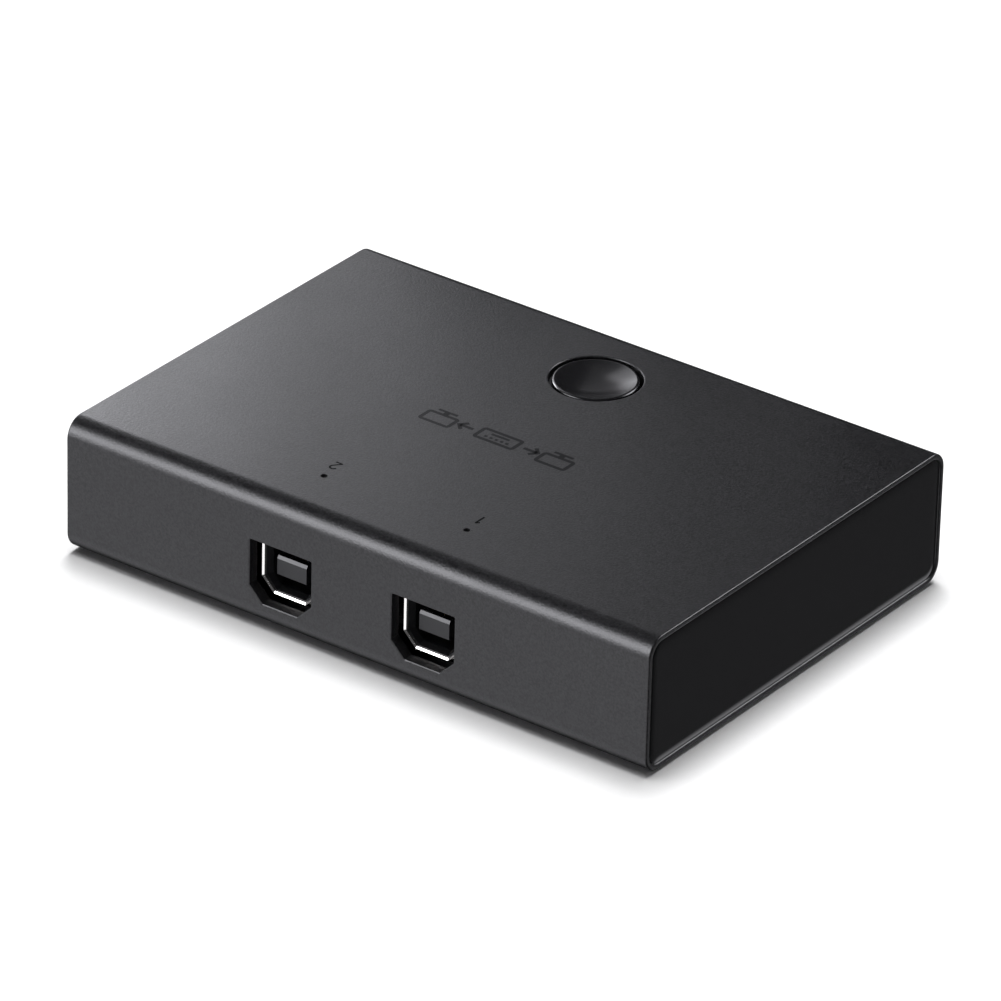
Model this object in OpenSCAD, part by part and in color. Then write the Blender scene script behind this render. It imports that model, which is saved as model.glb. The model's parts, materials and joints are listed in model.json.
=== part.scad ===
// Two-computer USB sharing switch: a one-piece sleeve with a circuit board slid in from one end,
// a frame and a glossy panel closing each end, two type B sockets for the computers in the front wall,
// four type A sockets and a micro-B power socket in the rear wall, and one push button on top.
// Millimetres. +Z is up, +X runs along the long side, -Y is the wall with the two computer sockets.
// The origin is the middle of the footprint, on the surface that the rubber feet stand on.

/* [Case] */
// Length of the sleeve along X
case_l = 110; // [108:0.5:124]
// Width of the sleeve along Y
case_w = 77.5; // [77.5:0.5:84]
// Height of the sleeve
case_h = 22.8; // [22.8:0.1:26]
// Radius of the four long edges
edge_r = 3.3; // [2.6:0.1:3.8]
// Wall thickness
wall_t = 2; // [1.8:0.1:2.1]
// Thickness of the lip round each end panel
lip_t = 1; // [0.9:0.1:1.5]

/* [Ends] */
// Thickness of each end frame's plate
frame_t = 1.8; // [1.6:0.1:2.2]
// Thickness of each end panel
panel_t = 2.15; // [1.6:0.05:2.2]
// How far each end panel lies below the lip
panel_recess = 0.05; // [0:0.05:0.5]

/* [Computer sockets] */
// Distance of each computer socket from the middle of the front wall
host_x = 13.5; // [11:0.5:20]
// Height of the computer sockets' axis above the sleeve's underside
host_z = 9.8; // [9.8:0.1:10]
// Width of each computer port's cut-out
host_cut_w = 11.8; // [11:0.1:12.6]
// Height of each computer port's cut-out
host_cut_h = 10.5; // [10:0.1:10.8]
// How far the socket shells' front lies behind the front wall's face
host_recess = 2.55; // [2.3:0.05:3]

/* [Device sockets] */
// Distance between neighbouring device sockets
device_pitch = 20; // [16:0.5:20]
// Position of the first device socket along X
device_first_x = -32; // [-36:0.5:-30]
// Position of the power socket along X
power_x = 44; // [42:0.5:45]
// How far the rear sockets' fronts lie behind the rear wall's face
rear_recess = 2.35; // [2.3:0.05:2.8]

/* [Button] */
// Distance of the button from the middle, towards the rear
button_y = 23.5; // [20:0.5:24]
// Diameter of the button's hole
button_hole_d = 14.9; // [14:0.1:17]
// Visible gap round the button
button_gap = 0.45; // [0.3:0.05:0.7]
// Depth of the dish in the button
button_dish = 1; // [0.5:0.1:1.1]
// Travel of the button
button_travel = 0.6; // [0.2:0.1:0.7]

/* [Indicators] */
// Distance of the indicator holes from the middle, towards the front
indicator_y = 28; // [24:0.5:30]
// Diameter of the indicator holes
indicator_d = 1.1; // [1:0.1:1.4]

/* [Feet] */
// Diameter of the rubber feet
foot_d = 8; // [6:0.5:9]
// How far the feet stand out of the sleeve's underside
foot_stand = 0.5; // [0.4:0.1:1]

/* [Hidden] */
$fn = 96;
BOTH = [-1, 1];

// Fits and cuts
cut = 1;
slip = 0.05;
loose = 0.1;
touch_gap = 0.03;

// Ends
pocket_d = panel_recess + panel_t + frame_t;
ledge_x = case_l / 2 - pocket_d;
panel_x = ledge_x + frame_t;
frame_inset = lip_t + loose;
panel_gap = 0.06;
panel_inset = lip_t + panel_gap;
panel_edge_w = 1.5;
panel_edge_d = 0.15;
panel_edge_steps = 4;
peg_d = 2;
peg_l = frame_t - 0.3;
peg_spread = 20;
jaw_l = 4;
jaw_w = 8;
jaw_t = 1.7;
jaw_y = 18;

// Circuit board, with the sockets hanging below it
board_t = 1.6;
board_z = 15;
board_top = board_z + board_t;
board_l = 2 * ledge_x - 2;
board_w = case_w - 2 * wall_t - 1.9;
pin_hole_d = 1;
leg_hole_d = 2.4;

// Screws and their posts
screw_y = 30;
screw_low_z = 4.4;
screw_high_z = case_h - wall_t - 2;
screw_d = 2.1;
screw_l = 8;
screw_head_d = 4.2;
screw_head_h = 1.1;
screw_slot_w = 0.5;
screw_slot_l = 2.4;
post_r = 2;
post_l = 10;
post_bore_d = screw_d + 2 * slip;

// Rails and ribs inside the sleeve
rail_w = 1.75;
rail_h = 1.5;
rib_t = 1.5;
rib_l = 76;
host_rib_y = [-32, -25.5];
device_rib_y = 27;

// Feet
foot_seat = 0.6;
foot_x = 45;
foot_y = 29;
foot_chamfer = 0.25;

// Computer sockets, type B
host_front = -case_w / 2 + host_recess;
host_cut_chamfer = 2.6;
host_cut_r = 0.5;
host_cut_z = 4 + host_cut_h / 2;
host_shell_w = 12;
host_shell_h = 10.8;
host_shell_l = 16;
host_shell_chamfer = 2.9;
host_shell_mid = board_z - host_z - host_shell_h / 2;
host_sheet = 0.35;
host_nose_l = 1.6;
host_collar_l = 0.85;
host_collar_w = 10.8;
host_collar_h = 9.8;
host_collar_chamfer = 2.3;
host_mouth_w = host_collar_w - 2 * host_sheet;
host_mouth_h = host_collar_h - 2 * host_sheet;
host_mouth_chamfer = 2.1;
host_flare_y = 0.4;
host_flare_l = 1;
host_flare_t = 0.2;
host_slot_w = 5;
host_slot_y = 10;
host_slot_l = 4.4;
host_hole_w = 8.45;
host_hole_h = 7.78;
host_hole_chamfer = 1.64;
host_hole_l = 9.4;
host_tongue_w = 5.6;
host_tongue_h = 3.18;
host_tongue_front = 0.45;
host_tongue_bevel_h = 0.5;
host_tongue_bevel_l = 0.3;
host_leg_w = 2;
host_leg_x = host_shell_w / 2 - host_sheet / 2;
host_leg_y = 13.5;
host_pin_x = 1.25;
host_pin_y = [13.2, 11.2];
contact_w = 1;
contact_t = 0.25;
contact_pin = 0.5;
pin_tip = board_top + 0.9;

// Device sockets, type A
device_count = 4;
device_front = case_w / 2 - rear_recess;
device_shell_w = 13.1;
device_shell_h = 5.72;
device_shell_l = 14;
device_sheet = 0.3;
device_z = board_z - device_shell_h / 2;
device_block_y = 9.4;
device_tongue_w = 11.1;
device_tongue_h = 1.84;
device_tongue_low = 0.35;
device_tongue_front = 1;
device_leg_y = 5.5;
device_leg_w = 1.8;
device_pin_x = [-3.5, -1, 1, 3.5];
device_pin_y = 12;
device_cut_w = 14.2;
device_cut_h = 6.8;
device_cut_r = 0.6;

// Power socket, micro-B
power_shell_w = 7.5;
power_shell_h = 2.6;
power_shell_l = 5.6;
power_sheet = 0.25;
power_z = board_z - power_shell_h / 2;
power_block_y = 4;
power_tongue_w = 3.9;
power_tongue_h = 0.6;
power_tongue_front = 0.6;
power_pin_pitch = 0.65;
power_pin_w = 0.3;
power_pin_y = 4.8;
power_pins = 5;
power_leg_y = 2.4;
power_leg_w = 1.1;
power_cut_w = 11.2;
power_cut_h = 7.4;
power_cut_r = 1.2;

// Button and the switch under it
cap_d = button_hole_d - 2 * button_gap;
cap_top = case_h - 0.1;
cap_bottom = 20.9;
cap_edge = 0.25;
leg_r = button_hole_d / 2 - slip - 0.02;
leg_in_r = leg_r - 1.3;
leg_bottom = 19;
leg_top = cap_top - 1.1;
leg_sweep = 30;
hook_out = 0.65;
hook_top = case_h - wall_t - slip;
hook_h = 1;
button_chamfer = 0.25;
switch_side = 6;
switch_top = 20.1;
switch_sheet = 0.25;
switch_skirt = 1.6;
switch_well_d = 4.6;
switch_well_z = 17.9;
plunger_d = 3.5;
plunger_flange_d = 4.4;
plunger_flange_h = 0.6;
dome_d = 4.2;
dome_t = 0.2;
terminal_x = 3.25;
terminal_y = 2.25;
terminal_w = 0.7;

// Indicators
pipe_d = 3;
pipe_nose_d = indicator_d - 0.06;
pipe_bottom = 17.6;
pipe_top = case_h - 0.8;
pipe_ring_d = 5;
pipe_ring_h = 2.6;
led_l = 2;
led_w = 1.25;
led_base_h = 0.3;
led_h = 0.8;

// Parts on the board
hub_size = [10.2, 5.3, 1.75];
hub_pos = [0, 2];
hub_pins = 28;
mux_size = [5, 4.4, 1.1];
mux_x = 19;
mux_y = 2;
mux_pins = 16;
pin_pitch = 0.65;
gull_w = 0.25;
gull_l = 1;
gull_t = 0.15;
gull_foot = 0.55;
gull_rise = 0.7;
crystal_size = [11.4, 4.7, 3.4];
crystal_pos = [0, -9];
can_d = 6.3;
can_h = 7.7;
can_base = 6.6;
can_pos = [[-34, -12], [34, -12], [40, 14]];
fuse_size = [4.5, 3.2, 1];
fuse_y = 16;
chip_cap_size = [1.6, 0.8, 0.8];
chip_resistor_size = [1.6, 0.8, 0.45];

// Everything above the feet is drawn from the sleeve's underside and lifted by this
module on_feet() translate([0, 0, foot_stand]) children();

// A flat outline in Y and Z, drawn out along X
module along_x(x0, length)
    translate([x0, 0, 0]) rotate([90, 0, 90]) linear_extrude(length) children();

// A flat outline in X and Z, drawn out along Y
module along_y(y0, length)
    translate([0, y0 + length, 0]) rotate([90, 0, 0]) linear_extrude(length) children();

module rounded_rect(width, height, radius) {
    square([width - 2 * radius, height], center = true);
    square([width, height - 2 * radius], center = true);
    for (sx = BOTH, sy = BOTH)
        translate([sx * (width / 2 - radius), sy * (height / 2 - radius)]) circle(radius);
}

// A rectangle with its two lower corners cut off
module d_outline(width, height, chamfer)
    polygon([
        [-width / 2, height / 2],
        [-width / 2, chamfer - height / 2],
        [chamfer - width / 2, -height / 2],
        [width / 2 - chamfer, -height / 2],
        [width / 2, chamfer - height / 2],
        [width / 2, height / 2]
    ]);

// The sleeve's section, drawn in by the given inset
module case_outline(inset)
    translate([0, case_h / 2])
        rounded_rect(case_w - 2 * inset, case_h - 2 * inset, edge_r - inset);

// A box centred in X and Y, standing on z = 0
module block(size)
    translate([-size[0] / 2, -size[1] / 2, 0]) cube(size);

// ---- Case ----

module host_cut_outline()
    difference() {
        d_outline(host_cut_w, host_cut_h, host_cut_chamfer);
        for (s = BOTH)
            translate([s * (host_cut_w / 2 - host_cut_r), host_cut_h / 2 - host_cut_r])
                difference() {
                    translate([s > 0 ? 0 : -cut, 0]) square(cut);
                    circle(host_cut_r);
                }
    }

module host_cuts()
    for (s = BOTH)
        translate([s * host_x, 0, host_cut_z])
            along_y(-case_w / 2 - cut, wall_t + 2 * cut) host_cut_outline();

module device_cuts()
    for (i = [0 : device_count - 1])
        translate([device_first_x + i * device_pitch, 0, device_z])
            along_y(case_w / 2 - wall_t - cut, wall_t + 2 * cut)
                rounded_rect(device_cut_w, device_cut_h, device_cut_r);

module power_cut()
    translate([power_x, 0, power_z])
        along_y(case_w / 2 - wall_t - 2 * cut, wall_t + 3 * cut)
            rounded_rect(power_cut_w, power_cut_h, power_cut_r);

module button_hole()
    translate([0, button_y, case_h]) {
        translate([0, 0, -wall_t - cut]) cylinder(h = wall_t + 2 * cut, d = button_hole_d);
        translate([0, 0, -button_chamfer])
            cylinder(h = button_chamfer + slip, d1 = button_hole_d,
                     d2 = button_hole_d + 2 * (button_chamfer + slip));
    }

module indicator_holes()
    for (s = BOTH)
        translate([s * host_x, -indicator_y, 0]) {
            translate([0, 0, case_h - wall_t - cut]) cylinder(h = wall_t + 2 * cut, d = indicator_d);
            translate([0, 0, case_h - wall_t - pipe_ring_h - cut])
                cylinder(h = pipe_ring_h + cut, d = pipe_d + 2 * slip);
        }

module indicator_rings()
    for (s = BOTH)
        translate([s * host_x, -indicator_y, case_h - wall_t - pipe_ring_h])
            cylinder(h = pipe_ring_h + slip, d = pipe_ring_d);

// Posts that the end screws bite into, joined to the floor or the ceiling
module screw_posts()
    for (s = BOTH, sy = BOTH) {
        x0 = s > 0 ? ledge_x - post_l : -ledge_x;
        translate([0, sy * screw_y, screw_low_z]) along_x(x0, post_l) circle(post_r);
        translate([x0, sy * screw_y - post_r, wall_t / 2])
            cube([post_l, 2 * post_r, screw_low_z - wall_t / 2]);
        translate([0, sy * screw_y, screw_high_z]) along_x(x0, post_l) circle(post_r);
        translate([x0, sy * screw_y - post_r, screw_high_z])
            cube([post_l, 2 * post_r, case_h - wall_t / 2 - screw_high_z]);
    }

module screw_bores()
    for (s = BOTH, sy = BOTH, z = [screw_low_z, screw_high_z]) {
        x0 = s > 0 ? ledge_x - post_l + cut : -ledge_x - cut;
        translate([0, sy * screw_y, z]) along_x(x0, post_l) circle(d = post_bore_d);
    }

// Rails over the board's two long edges, and ribs that the sockets stand on
module rails_and_ribs() {
    for (s = BOTH)
        translate([-ledge_x, s > 0 ? case_w / 2 - wall_t - rail_w : wall_t / 2 - case_w / 2,
                   board_top + loose])
            cube([2 * ledge_x, rail_w + wall_t / 2, rail_h]);
    for (y = host_rib_y)
        translate([-rib_l / 2, y, wall_t / 2]) cube([rib_l, rib_t, board_z - host_shell_h - wall_t / 2]);
    translate([-rib_l / 2, device_rib_y, wall_t / 2])
        cube([rib_l, rib_t, board_z - device_shell_h - wall_t / 2]);
}

module foot_seats()
    for (sx = BOTH, sy = BOTH)
        translate([sx * foot_x, sy * foot_y, -cut])
            cylinder(h = foot_seat + cut, d = foot_d + 2 * slip);

module case_sleeve()
    color("#3c3c3e") on_feet() difference() {
        union() {
            difference() {
                along_x(-case_l / 2, case_l) case_outline(0);
                along_x(-case_l / 2 - cut, case_l + 2 * cut) case_outline(wall_t);
                along_x(ledge_x, pocket_d + cut) case_outline(lip_t);
                along_x(-case_l / 2 - cut, pocket_d + cut) case_outline(lip_t);
            }
            indicator_rings();
            screw_posts();
            rails_and_ribs();
        }
        host_cuts();
        device_cuts();
        power_cut();
        button_hole();
        indicator_holes();
        screw_bores();
        foot_seats();
    }

// ---- Ends ----

module end_peg_places(z = case_h / 2)
    for (i = [-1 : 1]) translate([0, i * peg_spread, z]) children();

module end_screw_places()
    for (sy = BOTH, z = [screw_low_z, screw_high_z]) translate([0, sy * screw_y, z]) children();

// Two jaws above and below the board's end
module board_jaws()
    for (sy = BOTH, z = [board_z - jaw_t, board_top + loose])
        translate([ledge_x - jaw_l, sy * jaw_y - jaw_w / 2, z]) cube([jaw_l + slip, jaw_w, jaw_t]);

module end_frame()
    difference() {
        union() {
            along_x(ledge_x, frame_t) case_outline(frame_inset);
            board_jaws();
        }
        end_peg_places() along_x(ledge_x - cut, frame_t + 2 * cut) circle(d = peg_d + 2 * slip);
        end_screw_places() {
            along_x(ledge_x - cut, frame_t + 2 * cut) circle(d = screw_d + 0.4);
            translate([panel_x - screw_head_h, 0, 0]) rotate([0, 90, 0])
                cylinder(h = screw_head_h + slip, d1 = screw_d + 0.4, d2 = screw_head_d + 2 * loose);
        }
    }

module end_frame_right() color("#202022") on_feet() end_frame();
module end_frame_left() color("#202022") on_feet() mirror([1, 0, 0]) end_frame();

// A plate whose rim is rounded over in a flat curve, with three pegs behind it
module end_panel() {
    hull()
        for (i = [0 : panel_edge_steps]) {
            t = i / panel_edge_steps;
            along_x(panel_x, panel_t - panel_edge_d * pow(1 - t, 2))
                case_outline(panel_inset + panel_edge_w * t);
        }
    end_peg_places() along_x(panel_x - peg_l, peg_l + slip) circle(d = peg_d);
}

module end_panel_right() color("#101012") on_feet() end_panel();
module end_panel_left() color("#101012") on_feet() mirror([1, 0, 0]) end_panel();

// A countersunk screw with a cross recess, its head flush with the end frame
module end_screw()
    difference() {
        union() {
            along_x(panel_x - screw_l, screw_l - screw_head_h + slip) circle(d = screw_d);
            translate([panel_x - screw_head_h, 0, 0]) rotate([0, 90, 0])
                cylinder(h = screw_head_h, d1 = screw_d, d2 = screw_head_d);
        }
        for (turn = [0, 90])
            rotate([turn, 0, 0])
                translate([panel_x - screw_head_h * 0.7, -screw_slot_l / 2, -screw_slot_w / 2])
                    cube([screw_head_h, screw_slot_l, screw_slot_w]);
    }

module end_screws_right() color("silver") on_feet() end_screw_places() end_screw();
module end_screws_left() color("silver") on_feet() mirror([1, 0, 0]) end_screw_places() end_screw();

// ---- Feet ----

module foot(sx, sy)
    color("#18181a") translate([sx * foot_x, sy * foot_y, 0])
        rotate_extrude()
            polygon([
                [0, 0],
                [foot_d / 2 - foot_chamfer, 0],
                [foot_d / 2, foot_chamfer],
                [foot_d / 2, foot_stand + foot_seat],
                [0, foot_stand + foot_seat]
            ]);

module foot_front_left() foot(-1, -1);
module foot_front_right() foot(1, -1);
module foot_rear_left() foot(-1, 1);
module foot_rear_right() foot(1, 1);

// ---- Placing the sockets ----

// Local +Y runs into the socket from its front, and z = 0 is its axis
module at_host(n) translate([n == 1 ? host_x : -host_x, host_front, host_z]) children();

module at_device(n)
    translate([device_first_x + (n - 1) * device_pitch, device_front, device_z])
        rotate([0, 0, 180]) children();

module at_power() translate([power_x, device_front, power_z]) rotate([0, 0, 180]) children();

// ---- Circuit board ----

module board_hole(x, y, d)
    translate([x, y, board_z - cut]) cylinder(h = board_t + 2 * cut, d = d, $fn = 24);

module circuit_board()
    color("darkgreen") on_feet() difference() {
        translate([0, 0, board_z]) block([board_l, board_w, board_t]);
        for (n = [1, 2]) at_host(n) translate([0, 0, -host_z]) {
            for (s = BOTH) board_hole(s * host_leg_x, host_leg_y, leg_hole_d);
            for (s = BOTH, y = host_pin_y) board_hole(s * host_pin_x, y, pin_hole_d);
        }
        for (n = [1 : device_count]) at_device(n) translate([0, 0, -device_z]) {
            for (s = BOTH) board_hole(s * (device_shell_w - device_sheet) / 2, device_leg_y, leg_hole_d);
            for (x = device_pin_x) board_hole(x, device_pin_y, pin_hole_d);
        }
        at_power() translate([0, 0, -power_z])
            for (s = BOTH)
                board_hole(s * (power_shell_w - power_sheet) / 2, power_leg_y, leg_hole_d * 0.6);
    }

// ---- Computer sockets ----

// A folded body with a raised collar of thin sheet in front
module host_shell(n)
    color("lightgray") on_feet() at_host(n) {
        difference() {
            union() {
                translate([0, 0, host_shell_mid])
                    along_y(host_collar_l, host_shell_l - host_collar_l)
                        d_outline(host_shell_w, host_shell_h, host_shell_chamfer);
                along_y(0, host_nose_l) d_outline(host_collar_w, host_collar_h, host_collar_chamfer);
            }
            translate([0, 0, host_shell_mid])
                along_y(host_nose_l, host_shell_l)
                    d_outline(host_shell_w - 2 * host_sheet, host_shell_h - 2 * host_sheet,
                              host_shell_chamfer - host_sheet * 0.6);
            along_y(-cut, host_nose_l + 2 * cut)
                d_outline(host_mouth_w, host_mouth_h, host_mouth_chamfer);
            translate([-host_slot_w / 2, host_slot_y, 0]) cube([host_slot_w, host_slot_l, host_shell_h]);
        }
        for (s = BOTH)
            translate([s * host_leg_x - host_sheet / 2, host_leg_y - host_leg_w / 2,
                       host_shell_mid + host_shell_h / 2 - slip])
                cube([host_sheet, host_leg_w, pin_tip - board_z + slip]);
    }

module host_socket_shell_1() host_shell(1);
module host_socket_shell_2() host_shell(2);

// Two contacts on each face of the tongue, each turned up behind it and through the board
module host_contact_paths(grow)
    for (s = BOTH, row = [0, 1]) {
        face = row == 0 ? -1 : 1;
        face_z = face * (host_tongue_h / 2 - contact_t / 2);
        pin_y = host_pin_y[row];
        translate([s * host_pin_x - contact_w / 2 - grow, host_tongue_front + 1 - grow,
                   face_z - contact_t / 2 - grow])
            cube([contact_w + 2 * grow, pin_y - host_tongue_front - 1 + contact_pin / 2 + 2 * grow,
                  contact_t + 2 * grow]);
        translate([s * host_pin_x - contact_pin / 2 - grow, pin_y - contact_pin / 2 - grow,
                   face_z - contact_t / 2 - grow])
            cube([contact_pin + 2 * grow, contact_pin + 2 * grow,
                  pin_tip - host_z - face_z + contact_t / 2 + 2 * grow]);
    }

// The moulding inside the shell: a block with a nose that fills the collar, the plug's cavity
// with its flared mouth, and the tongue that stands in it
module host_insert(n)
    color("#262628") on_feet() at_host(n) difference() {
        union() {
            difference() {
                union() {
                    translate([0, 0, host_shell_mid])
                        along_y(host_nose_l + touch_gap, host_shell_l - host_nose_l - 0.4)
                            d_outline(host_shell_w - 2 * (host_sheet + touch_gap),
                                      host_shell_h - 2 * (host_sheet + touch_gap),
                                      host_shell_chamfer - host_sheet * 0.6);
                    along_y(host_flare_y, host_nose_l + 1 - host_flare_y)
                        d_outline(host_mouth_w - 2 * touch_gap, host_mouth_h - 2 * touch_gap,
                                  host_mouth_chamfer);
                }
                along_y(0, host_hole_l) d_outline(host_hole_w, host_hole_h, host_hole_chamfer);
                hull() {
                    along_y(host_flare_y - slip, slip)
                        d_outline(host_mouth_w - 2 * host_flare_t, host_mouth_h - 2 * host_flare_t,
                                  host_mouth_chamfer);
                    along_y(host_flare_y + host_flare_l, slip)
                        d_outline(host_hole_w, host_hole_h, host_hole_chamfer);
                }
            }
            translate([-host_tongue_w / 2, 0, -host_tongue_h / 2])
                rotate([90, 0, 90]) linear_extrude(host_tongue_w)
                    polygon([
                        [host_tongue_front, 0],
                        [host_tongue_front, host_tongue_h - host_tongue_bevel_h],
                        [host_tongue_front + host_tongue_bevel_l, host_tongue_h],
                        [host_hole_l + slip, host_tongue_h],
                        [host_hole_l + slip, 0]
                    ]);
        }
        host_contact_paths(touch_gap);
    }

module host_socket_insert_1() host_insert(1);
module host_socket_insert_2() host_insert(2);

module host_contacts(n) color("goldenrod") on_feet() at_host(n) host_contact_paths(0);
module host_socket_contacts_1() host_contacts(1);
module host_socket_contacts_2() host_contacts(2);

// ---- Device sockets ----

module device_shell(n)
    color("lightgray") on_feet() at_device(n) {
        difference() {
            along_y(0, device_shell_l) square([device_shell_w, device_shell_h], center = true);
            along_y(-cut, device_shell_l + cut - device_sheet)
                square([device_shell_w - 2 * device_sheet, device_shell_h - 2 * device_sheet],
                       center = true);
            translate([-device_tongue_w / 2, device_pin_y - 1, 0])
                cube([device_tongue_w, 2, device_shell_h]);
        }
        for (s = BOTH)
            translate([s * (device_shell_w - device_sheet) / 2 - device_sheet / 2,
                       device_leg_y - device_leg_w / 2, device_shell_h / 2 - slip])
                cube([device_sheet, device_leg_w, pin_tip - board_z + slip]);
    }

module device_socket_shell_1() device_shell(1);
module device_socket_shell_2() device_shell(2);
module device_socket_shell_3() device_shell(3);
module device_socket_shell_4() device_shell(4);

// Four contacts under the tongue, each turned up behind it and through the board
module device_contact_paths(grow)
    for (x = device_pin_x) {
        translate([x - contact_w / 2 - grow, device_tongue_front + 0.8 - grow, device_tongue_low - grow])
            cube([contact_w + 2 * grow,
                  device_pin_y - device_tongue_front - 0.8 + contact_pin / 2 + 2 * grow,
                  contact_t + 2 * grow]);
        translate([x - contact_pin / 2 - grow, device_pin_y - contact_pin / 2 - grow,
                   device_tongue_low - grow])
            cube([contact_pin + 2 * grow, contact_pin + 2 * grow,
                  pin_tip - device_z - device_tongue_low + 2 * grow]);
    }

module device_tongue(n)
    color("#262628") on_feet() at_device(n) difference() {
        union() {
            along_y(device_block_y, device_shell_l - device_sheet - device_block_y - touch_gap)
                square([device_shell_w - 2 * (device_sheet + touch_gap),
                        device_shell_h - 2 * (device_sheet + touch_gap)], center = true);
            translate([-device_tongue_w / 2, device_tongue_front, device_tongue_low])
                cube([device_tongue_w, device_block_y - device_tongue_front + slip, device_tongue_h]);
        }
        device_contact_paths(touch_gap);
    }

module device_socket_tongue_1() device_tongue(1);
module device_socket_tongue_2() device_tongue(2);
module device_socket_tongue_3() device_tongue(3);
module device_socket_tongue_4() device_tongue(4);

module device_contacts(n) color("goldenrod") on_feet() at_device(n) device_contact_paths(0);
module device_socket_contacts_1() device_contacts(1);
module device_socket_contacts_2() device_contacts(2);
module device_socket_contacts_3() device_contacts(3);
module device_socket_contacts_4() device_contacts(4);

// ---- Power socket ----

module power_socket_shell()
    color("lightgray") on_feet() at_power() {
        difference() {
            along_y(0, power_shell_l) d_outline(power_shell_w, power_shell_h, 0.8);
            along_y(-cut, power_shell_l + 2 * cut)
                d_outline(power_shell_w - 2 * power_sheet, power_shell_h - 2 * power_sheet, 0.7);
        }
        for (s = BOTH)
            translate([s * (power_shell_w - power_sheet) / 2 - power_sheet / 2,
                       power_leg_y - power_leg_w / 2, power_shell_h / 2 - slip])
                cube([power_sheet, power_leg_w, board_t]);
    }

module power_contact_paths(grow)
    for (i = [0 : power_pins - 1])
        translate([(i - (power_pins - 1) / 2) * power_pin_pitch - power_pin_w / 2 - grow, 0, 0]) {
            translate([0, power_tongue_front + 0.3 - grow, -grow])
                cube([power_pin_w + 2 * grow,
                      power_shell_l + 0.9 - power_tongue_front - 0.3 + 2 * grow, 0.15 + 2 * grow]);
            translate([0, power_shell_l + 0.6 - grow, -grow])
                cube([power_pin_w + 2 * grow, 0.3 + 2 * grow, power_shell_h / 2 - touch_gap]);
        }

module power_socket_tongue()
    color("#262628") on_feet() at_power() difference() {
        union() {
            along_y(power_block_y, power_shell_l - power_block_y)
                d_outline(power_shell_w - 2 * (power_sheet + touch_gap),
                          power_shell_h - 2 * (power_sheet + touch_gap), 0.7);
            translate([-power_tongue_w / 2, power_tongue_front, 0])
                cube([power_tongue_w, power_block_y - power_tongue_front + slip, power_tongue_h]);
        }
        power_contact_paths(touch_gap);
    }

module power_socket_contacts() color("goldenrod") on_feet() at_power() power_contact_paths(0);

// ---- Button and switch ----

module ring_arc(r_in, r_out, z, h, sweep)
    translate([0, 0, z]) rotate([0, 0, -sweep / 2]) rotate_extrude(angle = sweep)
        translate([r_in, 0]) square([r_out - r_in, h]);

// A dished disc with three hooked legs that hold it under the top wall
module button_cap()
    color("#141416") on_feet() translate([0, button_y, 0]) {
        dish_r = (pow(cap_d / 2 - 2 * cap_edge, 2) + pow(button_dish, 2)) / (2 * button_dish);
        difference() {
            rotate_extrude()
                polygon([
                    [0, cap_bottom],
                    [cap_d / 2, cap_bottom],
                    [cap_d / 2, cap_top - cap_edge],
                    [cap_d / 2 - cap_edge, cap_top],
                    [0, cap_top]
                ]);
            translate([0, 0, cap_top - button_dish + dish_r]) sphere(dish_r, $fn = 200);
        }
        for (i = [0 : 2]) rotate([0, 0, 90 + i * 120]) {
            ring_arc(leg_in_r, leg_r, leg_bottom, leg_top - leg_bottom, leg_sweep);
            ring_arc(leg_r - slip, leg_r + hook_out, hook_top - hook_h, hook_h, leg_sweep);
        }
    }

module at_switch() on_feet() translate([0, button_y, 0]) children();

module switch_plunger()
    color("#d8d4c8") at_switch()
        rotate_extrude()
            polygon([
                [0, switch_top - switch_sheet - slip - plunger_flange_h],
                [plunger_flange_d / 2, switch_top - switch_sheet - slip - plunger_flange_h],
                [plunger_flange_d / 2, switch_top - switch_sheet - slip],
                [plunger_d / 2, switch_top - switch_sheet - slip],
                [plunger_d / 2, cap_bottom],
                [0, cap_bottom]
            ]);

// A snap dome between the plunger and the base, flattened as the plunger goes down
module switch_dome()
    color("silver") at_switch() {
        dome_h = switch_top - switch_sheet - slip - plunger_flange_h - switch_well_z;
        rotate_extrude()
            polygon([
                [0, switch_well_z + dome_h - dome_t],
                [dome_d / 4, switch_well_z + dome_h - dome_t],
                [dome_d / 2 - dome_t, switch_well_z],
                [dome_d / 2, switch_well_z],
                [dome_d / 4 + dome_t, switch_well_z + dome_h],
                [0, switch_well_z + dome_h]
            ]);
    }

module switch_base()
    color("#1c1c1e") at_switch() difference() {
        translate([0, 0, board_top])
            block([switch_side - 2 * switch_sheet, switch_side - 2 * switch_sheet,
                   switch_top - switch_sheet - board_top]);
        translate([0, 0, switch_well_z])
            cylinder(h = switch_top - switch_well_z, d = switch_well_d);
    }

module switch_cover()
    color("silver") at_switch() difference() {
        translate([0, 0, switch_top - switch_skirt]) block([switch_side, switch_side, switch_skirt]);
        translate([0, 0, switch_top - switch_skirt - cut])
            block([switch_side - 2 * switch_sheet, switch_side - 2 * switch_sheet,
                   switch_skirt + cut - switch_sheet]);
        translate([0, 0, switch_top - cut]) cylinder(h = 2 * cut, d = plunger_d + 2 * slip);
    }

module switch_terminals()
    color("silver") at_switch()
        for (sx = BOTH, sy = BOTH)
            translate([sx * terminal_x, sy * terminal_y, board_top]) {
                block([0.3, terminal_w, 1]);
                translate([sx * 0.5, 0, 0]) block([0.9, terminal_w, 0.2]);
            }

// ---- Indicators ----

module at_indicator(n) on_feet() translate([n == 1 ? host_x : -host_x, -indicator_y, 0]) children();

module indicator_led(n)
    color("honeydew") at_indicator(n) translate([0, 0, board_top]) {
        block([led_l, led_w, led_base_h]);
        block([led_l * 0.6, led_w, led_h]);
    }
module indicator_led_1() indicator_led(1);
module indicator_led_2() indicator_led(2);

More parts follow.
